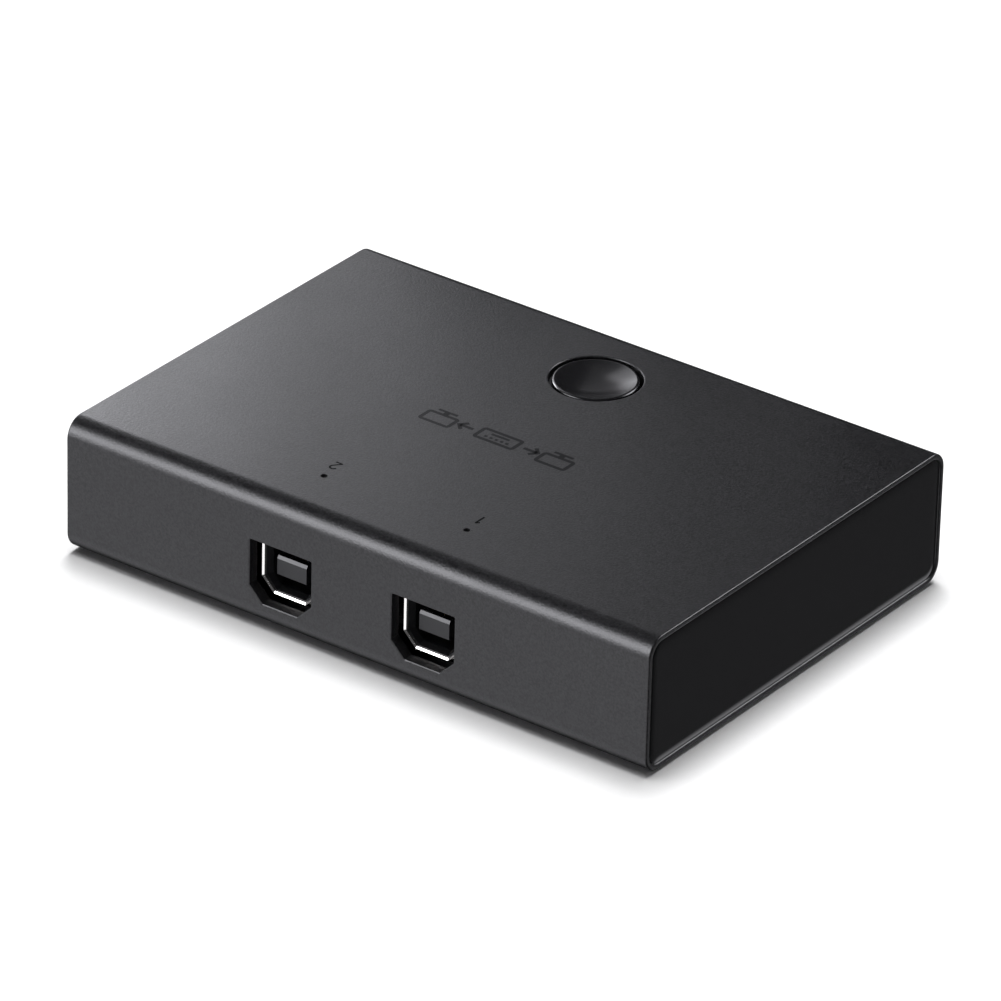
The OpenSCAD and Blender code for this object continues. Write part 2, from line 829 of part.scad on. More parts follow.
module light_pipe(n)
    color("whitesmoke") at_indicator(n) {
        translate([0, 0, pipe_bottom])
            cylinder(h = case_h - wall_t - slip - pipe_bottom, d = pipe_d);
        translate([0, 0, pipe_bottom]) cylinder(h = pipe_top - pipe_bottom, d = pipe_nose_d);
    }
module light_pipe_1() light_pipe(1);
module light_pipe_2() light_pipe(2);

// ---- Parts on the board ----

// A lead that comes out of a chip's side, turns down and ends in a flat foot on the board
module gull_wing()
    along_x(-gull_w / 2, gull_w) {
        translate([0, gull_rise - gull_t]) square([gull_l - gull_foot, gull_t]);
        translate([gull_l - gull_foot - gull_t, 0]) square([gull_t, gull_rise]);
        translate([gull_l - gull_foot - gull_t, 0]) square([gull_foot + gull_t, gull_t]);
    }

// Leads along both long sides of a chip
module chip_leads(size, count)
    for (turn = [0, 180], i = [0 : count / 2 - 1])
        rotate([0, 0, turn])
            translate([(i - (count / 2 - 1) / 2) * pin_pitch, size[1] / 2, board_top]) gull_wing();

module chip_body(size) color("#202022") translate([0, 0, board_top + gull_t]) block(size);

module hub_chip() on_feet() translate(hub_pos) chip_body(hub_size);
module hub_chip_pins() color("silver") on_feet() translate(hub_pos) chip_leads(hub_size, hub_pins);
module mux_chip_1() on_feet() translate([mux_x, mux_y]) chip_body(mux_size);
module mux_chip_2() on_feet() translate([-mux_x, mux_y]) chip_body(mux_size);
module mux_chip_pins()
    color("silver") on_feet() for (s = BOTH) translate([s * mux_x, mux_y]) chip_leads(mux_size, mux_pins);

module crystal_can()
    color("silver") on_feet() translate([crystal_pos[0], crystal_pos[1], board_top])
        linear_extrude(crystal_size[2])
            rounded_rect(crystal_size[0], crystal_size[1], crystal_size[1] / 2 - slip);

module smoothing_capacitors()
    color("silver") on_feet() for (p = can_pos)
        translate([p[0], p[1], board_z - can_h]) cylinder(h = can_h - 1, d = can_d);

module capacitor_bases()
    color("#202022") on_feet() for (p = can_pos)
        translate([p[0], p[1], board_z - 1]) block([can_base, can_base, 1]);

module port_fuses()
    color("darkgreen") on_feet() for (i = [0 : device_count - 1])
        translate([device_first_x + i * device_pitch, fuse_y, board_top])
            block(fuse_size);

// Small two-ended chips in rows across the board
module chip_rows(size, columns, rows_y)
    for (x = columns, y = rows_y) translate([x, y, board_top]) block(size);

module chip_capacitors()
    color("tan") on_feet() chip_rows(chip_cap_size, [-28, -10, 10, 28], [-3, 8]);

module chip_resistors()
    color("#202022") on_feet() chip_rows(chip_resistor_size, [-28, -10, 10, 28], [-16, -12]);

case_sleeve();
end_frame_left();
end_frame_right();
end_panel_left();
end_panel_right();
end_screws_left();
end_screws_right();
foot_front_left();
foot_front_right();
foot_rear_left();
foot_rear_right();
circuit_board();
host_socket_shell_1();
host_socket_shell_2();
host_socket_insert_1();
host_socket_insert_2();
host_socket_contacts_1();
host_socket_contacts_2();
device_socket_shell_1();
device_socket_shell_2();
device_socket_shell_3();
device_socket_shell_4();
device_socket_tongue_1();
device_socket_tongue_2();
device_socket_tongue_3();
device_socket_tongue_4();
device_socket_contacts_1();
device_socket_contacts_2();
device_socket_contacts_3();
device_socket_contacts_4();
power_socket_shell();
power_socket_tongue();
power_socket_contacts();
button_cap();
switch_plunger();
switch_dome();
switch_base();
switch_cover();
switch_terminals();
indicator_led_1();
indicator_led_2();
light_pipe_1();
light_pipe_2();
hub_chip();
hub_chip_pins();
mux_chip_1();
mux_chip_2();
mux_chip_pins();
crystal_can();
smoothing_capacitors();
capacitor_bases();
port_fuses();
chip_capacitors();
chip_resistors();
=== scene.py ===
"""Two-computer USB sharing switch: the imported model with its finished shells, materials, light and camera."""
import json
import math

import bmesh
import bpy
from mathutils import Matrix, Vector


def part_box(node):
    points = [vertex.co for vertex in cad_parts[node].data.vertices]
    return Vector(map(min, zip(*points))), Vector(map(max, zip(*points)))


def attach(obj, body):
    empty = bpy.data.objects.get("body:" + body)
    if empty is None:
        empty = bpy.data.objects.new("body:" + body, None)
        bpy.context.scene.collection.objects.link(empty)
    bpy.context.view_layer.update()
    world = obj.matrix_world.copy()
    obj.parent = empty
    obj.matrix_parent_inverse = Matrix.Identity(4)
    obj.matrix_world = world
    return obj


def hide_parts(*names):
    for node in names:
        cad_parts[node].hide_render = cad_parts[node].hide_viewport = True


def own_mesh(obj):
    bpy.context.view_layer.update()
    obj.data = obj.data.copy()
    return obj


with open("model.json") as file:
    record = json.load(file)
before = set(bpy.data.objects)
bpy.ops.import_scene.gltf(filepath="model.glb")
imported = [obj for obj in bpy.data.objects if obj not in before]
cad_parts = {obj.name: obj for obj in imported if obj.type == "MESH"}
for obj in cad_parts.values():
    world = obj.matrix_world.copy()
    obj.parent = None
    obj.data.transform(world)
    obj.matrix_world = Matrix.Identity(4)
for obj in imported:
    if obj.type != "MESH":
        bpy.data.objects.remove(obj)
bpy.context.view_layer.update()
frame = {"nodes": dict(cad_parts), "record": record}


def corners(node):
    """The low and the high corner of a CAD node's box."""
    return [Vector(corner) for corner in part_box(node)]


MM = 0.001
BOTH = (-1, 1)
X = Vector((1, 0, 0))
Y = Vector((0, 1, 0))
Z = Vector((0, 0, 1))

# Case, as in the CAD model
CASE_LOW, CASE_HIGH = corners("case_sleeve")
CASE_MID = (CASE_LOW + CASE_HIGH) / 2
CASE_W = CASE_HIGH.y - CASE_LOW.y
CASE_H = CASE_HIGH.z - CASE_LOW.z
END_X = CASE_HIGH.x
EDGE_R = 3.3 * MM
WALL = 2.0 * MM
LIP = 1.0 * MM
BOARD_Z = CASE_LOW.z + 15 * MM
BOARD_TOP = BOARD_Z + 1.6 * MM
POCKET_D = 4.0 * MM
LEDGE_X = END_X - POCKET_D
FRAME_T = 1.8 * MM
LIGHT_PIPES = ("light_pipe_1", "light_pipe_2")
FEET = ("front_left", "front_right", "rear_left", "rear_right")
MOUNTS = {m["name"]: Vector(m["pos_m"]) for m in frame["record"]["mounts"]}


# ---------------------------------------- mesh helpers

def arc(start, end, steps):
    """Evenly spaced angles in radians, both ends included."""
    return [math.radians(start + (end - start) * i / steps) for i in range(steps + 1)]


def rounded(points, radius, steps):
    """A convex outline with each corner turned into an arc of the given radius."""
    result = []
    count = len(points)
    for i, corner in enumerate(points):
        before = (points[i - 1] - corner).normalized()
        after = (points[(i + 1) % count] - corner).normalized()
        half = before.angle(after) / 2
        centre = corner + (before + after).normalized() * (radius / math.sin(half))
        reach = radius / math.tan(half)
        first = corner + before * reach - centre
        sweep = (corner + after * reach - centre).angle_signed(first)
        for k in range(steps + 1):
            turn = Matrix.Rotation(sweep * k / steps, 2)
            result.append(centre + turn @ first)
    return result


def box_outline(width, height, radius, steps):
    """A rounded rectangle about the origin, as 2D points running anticlockwise."""
    w = width / 2
    h = height / 2
    corners = [Vector((-w, -h)), Vector((w, -h)), Vector((w, h)), Vector((-w, h))]
    return rounded(corners, radius, steps)


def d_outline(width, height, chamfer, radius):
    """A rectangle with its two lower corners cut off and every corner slightly rounded."""
    w = width / 2
    h = height / 2
    corners = [
        Vector((chamfer - w, -h)), Vector((w - chamfer, -h)), Vector((w, chamfer - h)),
        Vector((w, h)), Vector((-w, h)), Vector((-w, chamfer - h)),
    ]
    return rounded(corners, radius, 4)


def circle_outline(radius, segments):
    """A circle about the origin, as 2D points running anticlockwise."""
    return [Vector((radius * math.cos(2 * math.pi * i / segments),
                    radius * math.sin(2 * math.pi * i / segments))) for i in range(segments)]


def add_loop(bm, outline, origin, right, up):
    """Vertices along a 2D outline that lies in the plane of right and up."""
    return [bm.verts.new(origin + right * p[0] + up * p[1]) for p in outline]


def skin(bm, loops, closed=False):
    """Quads between neighbouring loops, and either a closed ring of loops or a cap at each end."""
    pairs = list(zip(loops, loops[1:]))
    if closed:
        pairs.append((loops[-1], loops[0]))
    for lower, upper in pairs:
        count = len(lower)
        for i in range(count):
            j = (i + 1) % count
            bm.faces.new((lower[i], lower[j], upper[j], upper[i]))
    if not closed:
        bm.faces.new(list(reversed(loops[0])))
        bm.faces.new(loops[-1])


def add_box(bm, low, high):
    """A plain box between two corners."""
    corners = [Vector((x, y, z)) for z in (low[2], high[2]) for x, y in (
        (low[0], low[1]), (high[0], low[1]), (high[0], high[1]), (low[0], high[1]))]
    verts = [bm.verts.new(c) for c in corners]
    skin(bm, [verts[:4], verts[4:]])


def revolve(bm, profile, centre, segments=128):
    """A closed profile of (radius, height) points turned about a vertical axis."""
    loops = []
    for radius, height in profile:
        if radius == 0:
            loops.append([bm.verts.new(centre + Z * height)])
        else:
            loops.append([bm.verts.new(centre + Vector((
                radius * math.cos(2 * math.pi * i / segments),
                radius * math.sin(2 * math.pi * i / segments), height))) for i in range(segments)])
    for lower, upper in zip(loops, loops[1:]):
        for i in range(segments):
            j = (i + 1) % segments
            if len(lower) == 1:
                bm.faces.new((lower[0], upper[j], upper[i]))
            elif len(upper) == 1:
                bm.faces.new((lower[i], lower[j], upper[0]))
            else:
                bm.faces.new((lower[i], lower[j], upper[j], upper[i]))


def extrude(bm, outline, origin, right, up, out, depth):
    """A closed prism: the outline, moved along out by depth."""
    skin(bm, [add_loop(bm, outline, origin + out * shift, right, up) for shift in (0, depth)])


def mesh_object(name, bm):
    """A linked object made from a finished mesh, with its normals outwards."""
    bmesh.ops.recalc_face_normals(bm, faces=bm.faces)
    mesh = bpy.data.meshes.new(name)
    bm.to_mesh(mesh)
    bm.free()
    piece = bpy.data.objects.new(name, mesh)
    bpy.context.collection.objects.link(piece)
    return piece


def combine(piece, tool, operation):
    """Adds or cuts away a closed mesh, and leaves the result as the piece's own mesh."""
    modifier = piece.modifiers.new(operation, "BOOLEAN")
    modifier.operation = operation
    modifier.solver = "EXACT"
    modifier.object = tool
    bpy.context.view_layer.update()
    graph = bpy.context.evaluated_depsgraph_get()
    result = bpy.data.meshes.new_from_object(piece.evaluated_get(graph))
    old = piece.data
    piece.modifiers.clear()
    piece.data = result
    bpy.data.meshes.remove(old)
    bpy.data.objects.remove(tool)


def smooth(piece, sharp_angle=32):
    """Smooth shading, broken at edges sharper than the angle, with flat faces kept flat."""
    bm = bmesh.new()
    bm.from_mesh(piece.data)
    bmesh.ops.remove_doubles(bm, verts=bm.verts, dist=1e-7)
    limit = math.radians(sharp_angle)
    for face in bm.faces:
        face.smooth = True
    for edge in bm.edges:
        edge.smooth = len(edge.link_faces) == 2 and edge.calc_face_angle(0) < limit
    bm.to_mesh(piece.data)
    bm.free()
    normals = piece.modifiers.new("flat_faces_stay_flat", "WEIGHTED_NORMAL")
    normals.keep_sharp = True
    normals.weight = 100


def finish_piece(piece, body, slot, replaced=(), material=None):
    """Gives a piece the body it rides and its slot's material, or the material given, and hides the CAD nodes
    it stands for.
    """
    piece.data.materials.clear()
    piece.data.materials.append(material or SLOT_MATERIAL[slot])
    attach(piece, body)
    if replaced:
        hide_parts(*replaced)
    return piece


def on_axis(node, height):
    """The point at a given height on the upright line through the middle of a node's box."""
    low, high = corners(node)
    place = (low + high) / 2
    place.z = height
    return place


BUTTON_AXIS = on_axis("switch_cover", CASE_HIGH.z)


# ---------------------------------------- materials

def nodes_of(name):
    """A new material with a Principled shader, its node tree and that shader."""
    material = bpy.data.materials.new(name)
    material.use_nodes = True
    tree = material.node_tree
    tree.nodes.clear()
    out = tree.nodes.new("ShaderNodeOutputMaterial")
    shader = tree.nodes.new("ShaderNodeBsdfPrincipled")
    tree.links.new(shader.outputs["BSDF"], out.inputs["Surface"])
    return material, tree, shader


def coordinates(tree, stretch=(1, 1, 1)):
    """Object coordinates, in metres, stretched along the axes."""
    source = tree.nodes.new("ShaderNodeTexCoord")
    mapping = tree.nodes.new("ShaderNodeMapping")
    mapping.inputs["Scale"].default_value = stretch
    tree.links.new(source.outputs["Object"], mapping.inputs["Vector"])
    return mapping.outputs["Vector"]


def noise_value(tree, vector, size, detail, roughness):
    """Noise whose blobs are about size metres across."""
    node = tree.nodes.new("ShaderNodeTexNoise")
    node.inputs["Scale"].default_value = 1.0 / size
    node.inputs["Detail"].default_value = detail
    node.inputs["Roughness"].default_value = roughness
    tree.links.new(vector, node.inputs["Vector"])
    return node.outputs["Fac"]


def remap(tree, value, low, high, from_low=0.3, from_high=0.7):
    """The value, stretched from the range that noise mostly fills to the range from low to high."""
    node = tree.nodes.new("ShaderNodeMapRange")
    node.inputs["From Min"].default_value = from_low
    node.inputs["From Max"].default_value = from_high
    node.inputs["To Min"].default_value = low
    node.inputs["To Max"].default_value = high
    tree.links.new(value, node.inputs["Value"])
    return node.outputs["Result"]


def blend_colour(tree, factor, first, second):
    """A colour that goes from the first to the second as the factor goes from 0 to 1."""
    node = tree.nodes.new("ShaderNodeMix")
    node.data_type = "RGBA"
    node.inputs["A"].default_value = (*first, 1)
    node.inputs["B"].default_value = (*second, 1)
    tree.links.new(factor, node.inputs["Factor"])
    return node.outputs["Result"]


def bump(tree, shader, height, distance):
    """Relief on a shader: a height from 0 to 1 that stands for a distance in metres."""
    node = tree.nodes.new("ShaderNodeBump")
    node.inputs["Distance"].default_value = distance
    tree.links.new(height, node.inputs["Height"])
    tree.links.new(node.outputs["Normal"], shader.inputs["Normal"])


def moulded_plastic(name, colour, roughness, grain, depth, specular=0.5, mottle=0.15):
    """Textured moulded plastic: spark grain in the surface, and mottling in colour and roughness."""
    material, tree, shader = nodes_of(name)
    vector = coordinates(tree)
    fine = noise_value(tree, vector, grain, 3.0, 0.6)
    broad = noise_value(tree, vector, 9 * MM, 3.0, 0.55)
    dark = [c * (1 - mottle) for c in colour]
    light = [c * (1 + mottle) for c in colour]
    tree.links.new(blend_colour(tree, remap(tree, fine, 0, 1), dark, light), shader.inputs["Base Color"])
    tree.links.new(remap(tree, broad, roughness - 0.02, roughness + 0.02), shader.inputs["Roughness"])
    shader.inputs["Specular IOR Level"].default_value = specular
    bump(tree, shader, fine, depth)
    return material


def polished_plastic(name, colour, roughness, specular=0.5):
    """Glossy moulded plastic: a faint slow ripple and a slightly uneven polish."""
    material, tree, shader = nodes_of(name)
    vector = coordinates(tree)
    slow = noise_value(tree, vector, 6 * MM, 2.0, 0.5)
    marks = noise_value(tree, coordinates(tree, (1, 0.3, 1)), 0.4 * MM, 3.0, 0.5)
    lighter = [c * 1.25 for c in colour]
    tree.links.new(blend_colour(tree, slow, colour, lighter), shader.inputs["Base Color"])
    tree.links.new(remap(tree, marks, roughness * 0.95, roughness * 1.1), shader.inputs["Roughness"])
    shader.inputs["Specular IOR Level"].default_value = specular
    bump(tree, shader, slow, 2e-6)
    return material


def metal(name, colour, roughness, stretch=(1, 1, 1)):
    """Bare or plated metal with rolling marks along one axis."""
    material, tree, shader = nodes_of(name)
    marks = noise_value(tree, coordinates(tree, stretch), 0.12 * MM, 4.0, 0.65)
    cloud = noise_value(tree, coordinates(tree), 2 * MM, 2.0, 0.5)
    dull = [c * 0.86 for c in colour]
    tree.links.new(blend_colour(tree, cloud, colour, dull), shader.inputs["Base Color"])
    tree.links.new(remap(tree, marks, roughness * 0.7, roughness * 1.4), shader.inputs["Roughness"])
    shader.inputs["Metallic"].default_value = 1.0
    bump(tree, shader, marks, 4e-7)
    return material


def board_laminate():
    """Solder mask over glass fibre, with the weave just showing and copper pours a shade lighter."""
    material, tree, shader = nodes_of("board_laminate")
    vector = coordinates(tree)
    weave = tree.nodes.new("ShaderNodeTexChecker")
    weave.inputs["Scale"].default_value = 1 / (0.5 * MM)
    tree.links.new(vector, weave.inputs["Vector"])
    pours = noise_value(tree, coordinates(tree, (1, 0.4, 1)), 4 * MM, 1.0, 0.4)
    edge = remap(tree, pours, 0, 1, 0.49, 0.51)
    tree.links.new(blend_colour(tree, edge, (0.006, 0.060, 0.030), (0.012, 0.095, 0.048)),
                   shader.inputs["Base Color"])
    tree.links.new(remap(tree, weave.outputs["Fac"], 0.28, 0.36, 0, 1), shader.inputs["Roughness"])
    bump(tree, shader, pours, 6e-6)
    return material


def ink(name, colour, specular):
    """Pad-printed ink, darker and duller than the plastic under it."""
    material, tree, shader = nodes_of(name)
    fine = noise_value(tree, coordinates(tree), 0.18 * MM, 2.0, 0.6)
    darker = [c * 0.5 for c in colour]
    tree.links.new(blend_colour(tree, fine, darker, colour), shader.inputs["Base Color"])
    tree.links.new(remap(tree, fine, 0.32, 0.42), shader.inputs["Roughness"])
    shader.inputs["Specular IOR Level"].default_value = specular
    bump(tree, shader, fine, 4e-6)
    return material


def clear_lens():
    """Clear acrylic with a slightly frosted end."""
    material, tree, shader = nodes_of("lens_clear")
    fine = noise_value(tree, coordinates(tree), 0.2 * MM, 2.0, 0.5)
    tree.links.new(remap(tree, fine, 0.12, 0.25), shader.inputs["Roughness"])
    tree.links.new(blend_colour(tree, fine, (0.70, 0.73, 0.71), (0.80, 0.82, 0.80)),
                   shader.inputs["Base Color"])
    shader.inputs["Transmission Weight"].default_value = 0.85
    shader.inputs["IOR"].default_value = 1.49
    return material


# colours, then roughness, grain size and relief depth where a finish has them
CASE_PLASTIC = moulded_plastic("case_plastic", (0.0115, 0.0115, 0.0124), 0.32, 0.36 * MM, 4.2e-5,
                               mottle=0.95)
PANEL_GLOSS = polished_plastic("panel_gloss", (0.0030, 0.0030, 0.0032), 0.10, specular=0.35)
BUTTON_PLASTIC = polished_plastic("button_plastic", (0.005, 0.005, 0.0055), 0.22)
INNER_PLASTIC = moulded_plastic("inner_plastic", (0.010, 0.010, 0.011), 0.45, 0.3 * MM, 4e-6)
SOCKET_PLASTIC = moulded_plastic("socket_plastic", (0.010, 0.010, 0.011), 0.36, 0.15 * MM, 3e-6)
PLATED_SHELL = metal("plated_shell", (0.74, 0.72, 0.69), 0.16, stretch=(1, 0.1, 1))
CONTACT_GOLD = metal("contact_gold", (0.80, 0.56, 0.22), 0.22)
SCREW_STEEL = metal("screw_steel", (0.50, 0.50, 0.51), 0.30)
FOOT_RUBBER = moulded_plastic("foot_rubber", (0.012, 0.012, 0.012), 0.70, 0.25 * MM, 1.5e-5, specular=0.3)
CHIP_PLASTIC = moulded_plastic("chip_plastic", (0.014, 0.014, 0.015), 0.55, 0.12 * MM, 3e-6)
TINNED_LEAD = metal("tinned_lead", (0.62, 0.62, 0.61), 0.35)
CAN_METAL = metal("can_metal", (0.66, 0.66, 0.67), 0.28, stretch=(1, 1, 0.1))
PLUNGER_PLASTIC = moulded_plastic("plunger_plastic", (0.55, 0.53, 0.47), 0.40, 0.2 * MM, 2e-6)
FUSE_GREEN = moulded_plastic("fuse_green", (0.02, 0.09, 0.04), 0.40, 0.3 * MM, 2e-6)
CHIP_CERAMIC = moulded_plastic("chip_ceramic", (0.34, 0.24, 0.15), 0.50, 0.1 * MM, 2e-6)
BOARD = board_laminate()
INK = ink("print_ink", (0.010, 0.010, 0.011), 0.16)
NUMBER_INK = ink("number_ink", (0.004, 0.004, 0.004), 0.03)
LENS = clear_lens()

SLOT_MATERIAL = {
    "case_plastic": CASE_PLASTIC, "panel_gloss": PANEL_GLOSS, "button_plastic": BUTTON_PLASTIC,
    "inner_plastic": INNER_PLASTIC, "socket_plastic": SOCKET_PLASTIC, "plated_shell": PLATED_SHELL,
    "contact_gold": CONTACT_GOLD, "screw_steel": SCREW_STEEL, "foot_rubber": FOOT_RUBBER,
    "board_laminate": BOARD, "chip_plastic": CHIP_PLASTIC, "tinned_lead": TINNED_LEAD,
    "can_metal": CAN_METAL, "plunger_plastic": PLUNGER_PLASTIC, "lens_clear": LENS,
    "fuse_green": FUSE_GREEN, "chip_ceramic": CHIP_CERAMIC,
}
SLOT_OF = {part["node"]: part["material_slot"] for part in frame["record"]["subparts"]}
for node_name, node_object in frame["nodes"].items():
    node_object.data.materials.clear()
    node_object.data.materials.append(SLOT_MATERIAL[SLOT_OF[node_name]])


# ---------------------------------------- case

# Openings in the walls, and the radius of their softened outer edges
HOST_CUT_W = 11.8 * MM
HOST_CUT_H = 10.5 * MM
HOST_CUT_LOW = 4.0 * MM
HOST_CUT_CHAMFER = 2.6 * MM
HOST_CUT_CORNER = 0.3 * MM
DEVICE_CUT_W = 14.2 * MM
DEVICE_CUT_H = 6.8 * MM
DEVICE_CUT_CORNER = 0.7 * MM
POWER_CUT_W = 11.2 * MM
POWER_CUT_H = 7.4 * MM
POWER_CUT_CORNER = 1.2 * MM
BUTTON_HOLE_R = 7.45 * MM
INDICATOR_R = 0.55 * MM
FOOT_SEAT_R = 4.05 * MM
FOOT_SEAT_D = 0.6 * MM
OPENING_EDGE_R = 0.26 * MM
INDICATOR_EDGE_R = 0.05 * MM
FOOT_SEAT_EDGE_R = 0.08 * MM
CHAMFER_SLOPE = 0.6

# How far a cutter reaches into the wall and stands out of it
THROUGH = WALL + 0.4 * MM
OVERSHOOT = 1.0 * MM

# Posts for the end screws, each with a web to the wall beside it
SCREW_Y = 30 * MM
SCREW_LOW_Z = CASE_LOW.z + 4.4 * MM
SCREW_HIGH_Z = CASE_LOW.z + 18.8 * MM
POST_R = 2.0 * MM
POST_WEB = 3.4 * MM
POST_L = 10 * MM
POST_BORE_R = 1.1 * MM
POST_FLOOR = 1 * MM

# Rails over the board's long edges
RAIL_W = 1.75 * MM
RAIL_PLAY = 0.1 * MM
RAIL_TOP = BOARD_TOP + 1.6 * MM

# Ribs under the sockets: place across the case and height above its underside, in millimetres
RIBS = ((-32.0, 4.2), (-25.5, 4.2), (27.0, 9.28))
RIB_T = 1.5
RIB_HALF_L = 38 * MM

# Rings that hold the light pipes under the top wall
RING_R = 2.5 * MM
RING_L = 2.6 * MM
RING_BORE_R = 1.55 * MM
RING_BORE_D = 4.0 * MM


def cutter(outline_of, origin, right, up, out, depth, edge_r, steps=5):
    """A closed solid that cuts an opening and softens its outer edge: rounded, or chamfered for no steps.

    outline_of(grow) gives the opening's outline, moved outwards by grow; out points away from the wall."""
    stations = [(edge_r, OVERSHOOT)]
    if steps:
        stations += [(edge_r * (1 - math.sin(a)), edge_r * (math.cos(a) - 1)) for a in arc(0, 90, steps)]
    else:
        stations += [(edge_r, 0), (0, -edge_r * CHAMFER_SLOPE)]
    stations.append((0, -depth))
    bm = bmesh.new()
    skin(bm, [add_loop(bm, outline_of(grow), origin + out * height, right, up)
              for grow, height in stations])
    return mesh_object("cutter", bm)


def host_cut_outline(grow):
    """The computer sockets' cut-out, moved outwards by grow on every side."""
    chamfer_growth = 2 - math.sqrt(2)
    return d_outline(HOST_CUT_W + 2 * grow, HOST_CUT_H + 2 * grow,
                     HOST_CUT_CHAMFER + grow * chamfer_growth, HOST_CUT_CORNER + grow)


def growing_box(width, height, corner, steps):
    """A function that gives a rounded rectangle's outline, moved outwards."""
    return lambda grow: box_outline(width + 2 * grow, height + 2 * grow, corner + grow, steps)


def growing_circle(radius, segments):
    """A function that gives a circle's outline, moved outwards."""
    return lambda grow: circle_outline(radius + grow, segments)


def wall_cutters():
    """Cut-outs for two computers in the front wall, and for four devices and the power in the rear one."""
    host_z = CASE_LOW.z + HOST_CUT_LOW + HOST_CUT_H / 2
    for name in ("host_port_1", "host_port_2"):
        origin = Vector((MOUNTS[name].x, CASE_LOW.y, host_z))
        yield cutter(host_cut_outline, origin, X, Z, -Y, THROUGH, OPENING_EDGE_R, 0)
    device_cut = growing_box(DEVICE_CUT_W, DEVICE_CUT_H, DEVICE_CUT_CORNER, 6)
    power_cut = growing_box(POWER_CUT_W, POWER_CUT_H, POWER_CUT_CORNER, 8)
    rear_ports = [("device_port_%d" % (i + 1), device_cut) for i in range(4)]
    for name, outline_of in rear_ports + [("power_port", power_cut)]:
        origin = Vector((MOUNTS[name].x, CASE_HIGH.y, MOUNTS[name].z))
        yield cutter(outline_of, origin, X, Z, Y, THROUGH, OPENING_EDGE_R)


def top_cutters():
    """The button's hole and the two pinholes of the indicators."""
    yield cutter(growing_circle(BUTTON_HOLE_R, 128), BUTTON_AXIS, X, Y, Z, THROUGH, OPENING_EDGE_R, 6)
    for node in LIGHT_PIPES:
        yield cutter(growing_circle(INDICATOR_R, 48), on_axis(node, CASE_HIGH.z), X, Y, Z,
                     THROUGH, INDICATOR_EDGE_R, 3)


def foot_cutters():
    """The four shallow seats of the feet."""
    for side in FEET:
        yield cutter(growing_circle(FOOT_SEAT_R, 64), on_axis("foot_" + side, CASE_LOW.z), X, Y, -Z,
                     FOOT_SEAT_D, FOOT_SEAT_EDGE_R, 2)


def sleeve_section(inset):
    """The case's outline seen from its end, moved inwards."""
    return box_outline(CASE_W - 2 * inset, CASE_H - 2 * inset, EDGE_R - inset, 20)


def post_outline(towards):
    """A round post with a straight web on one side; towards is 1 for up and -1 for down."""
    web = [Vector((POST_R, POST_WEB * towards)), Vector((-POST_R, POST_WEB * towards))]
    bow = [Vector((POST_R * math.cos(a), -POST_R * math.sin(a) * towards)) for a in arc(180, 0, 16)]
    return web + bow


def screw_places():
    """The middle of each screw post, and the way its web points."""
    for end in BOTH:
        for side in BOTH:
            for height, towards in ((SCREW_LOW_Z, -1), (SCREW_HIGH_Z, 1)):
                yield Vector((end * (LEDGE_X - POST_L / 2), side * SCREW_Y, height)), towards


def inner_features():
    """Screw posts, rails over the board's edges, ribs under the sockets and rings round the light pipes."""
    bm = bmesh.new()
    for place, towards in screw_places():
        extrude(bm, post_outline(towards), place - X * POST_L / 2, Y, Z, X, POST_L)
    for side in BOTH:
        inner = side * (CASE_W / 2 - WALL - RAIL_W)
        outer = side * (CASE_W / 2 - WALL / 2)
        add_box(bm, (-LEDGE_X + RAIL_PLAY, min(inner, outer), BOARD_TOP + RAIL_PLAY),
                (LEDGE_X - RAIL_PLAY, max(inner, outer), RAIL_TOP))
    for y, top in RIBS:
        add_box(bm, (-RIB_HALF_L, y * MM, CASE_LOW.z + WALL / 2),
                (RIB_HALF_L, (y + RIB_T) * MM, CASE_LOW.z + top * MM))
    for node in LIGHT_PIPES:
        origin = on_axis(node, CASE_HIGH.z - WALL - RING_L)
        extrude(bm, circle_outline(RING_R, 48), origin, X, Y, Z, RING_L + WALL / 2)
    return mesh_object("features", bm)


def inner_bores():
    """Bores in the screw posts and in the light pipes' rings."""
    bm = bmesh.new()
    for place, _ in screw_places():
        end = 1 if place.x > 0 else -1
        origin = place - X * (end * (POST_L / 2 - POST_FLOOR))
        extrude(bm, circle_outline(POST_BORE_R, 32), origin, Y, Z, X * end, POST_L)
    for node in LIGHT_PIPES:
        origin = on_axis(node, CASE_HIGH.z - WALL - RING_BORE_D)
        extrude(bm, circle_outline(RING_BORE_R, 48), origin, X, Y, Z, RING_BORE_D)
    return mesh_object("bores", bm)


def make_sleeve():
    """The wall's section from end to end, swept round the rounded rectangle and cut by every opening."""
    outer_r = 0.26 * MM
    inner_r = 0.32 * MM
    # place along the case and distance in from its outside
    half = [(LEDGE_X, WALL), (LEDGE_X, LIP)]
    half += [(END_X - inner_r * (1 - math.sin(a)), LIP - inner_r * (1 - math.cos(a)))
             for a in arc(0, 90, 6)]
    half += [(END_X - outer_r * (1 - math.cos(a)), outer_r * (1 - math.sin(a)))
             for a in arc(0, 90, 6)]
    path = half + [(-x, inset) for x, inset in reversed(half)]
    bm = bmesh.new()
    origin = Vector((0, CASE_MID.y, CASE_MID.z))
    loops = [add_loop(bm, sleeve_section(inset), origin + X * x, Y, Z) for x, inset in path]
    skin(bm, loops, closed=True)
    sleeve = mesh_object("sleeve", bm)
    combine(sleeve, inner_features(), "UNION")
    combine(sleeve, inner_bores(), "DIFFERENCE")
    for tool in list(wall_cutters()) + list(top_cutters()) + list(foot_cutters()):
        combine(sleeve, tool, "DIFFERENCE")
    smooth(sleeve)
    return finish_piece(sleeve, "case", "case_plastic", ("case_sleeve",))


SLEEVE = make_sleeve()


# ---------------------------------------- end panels

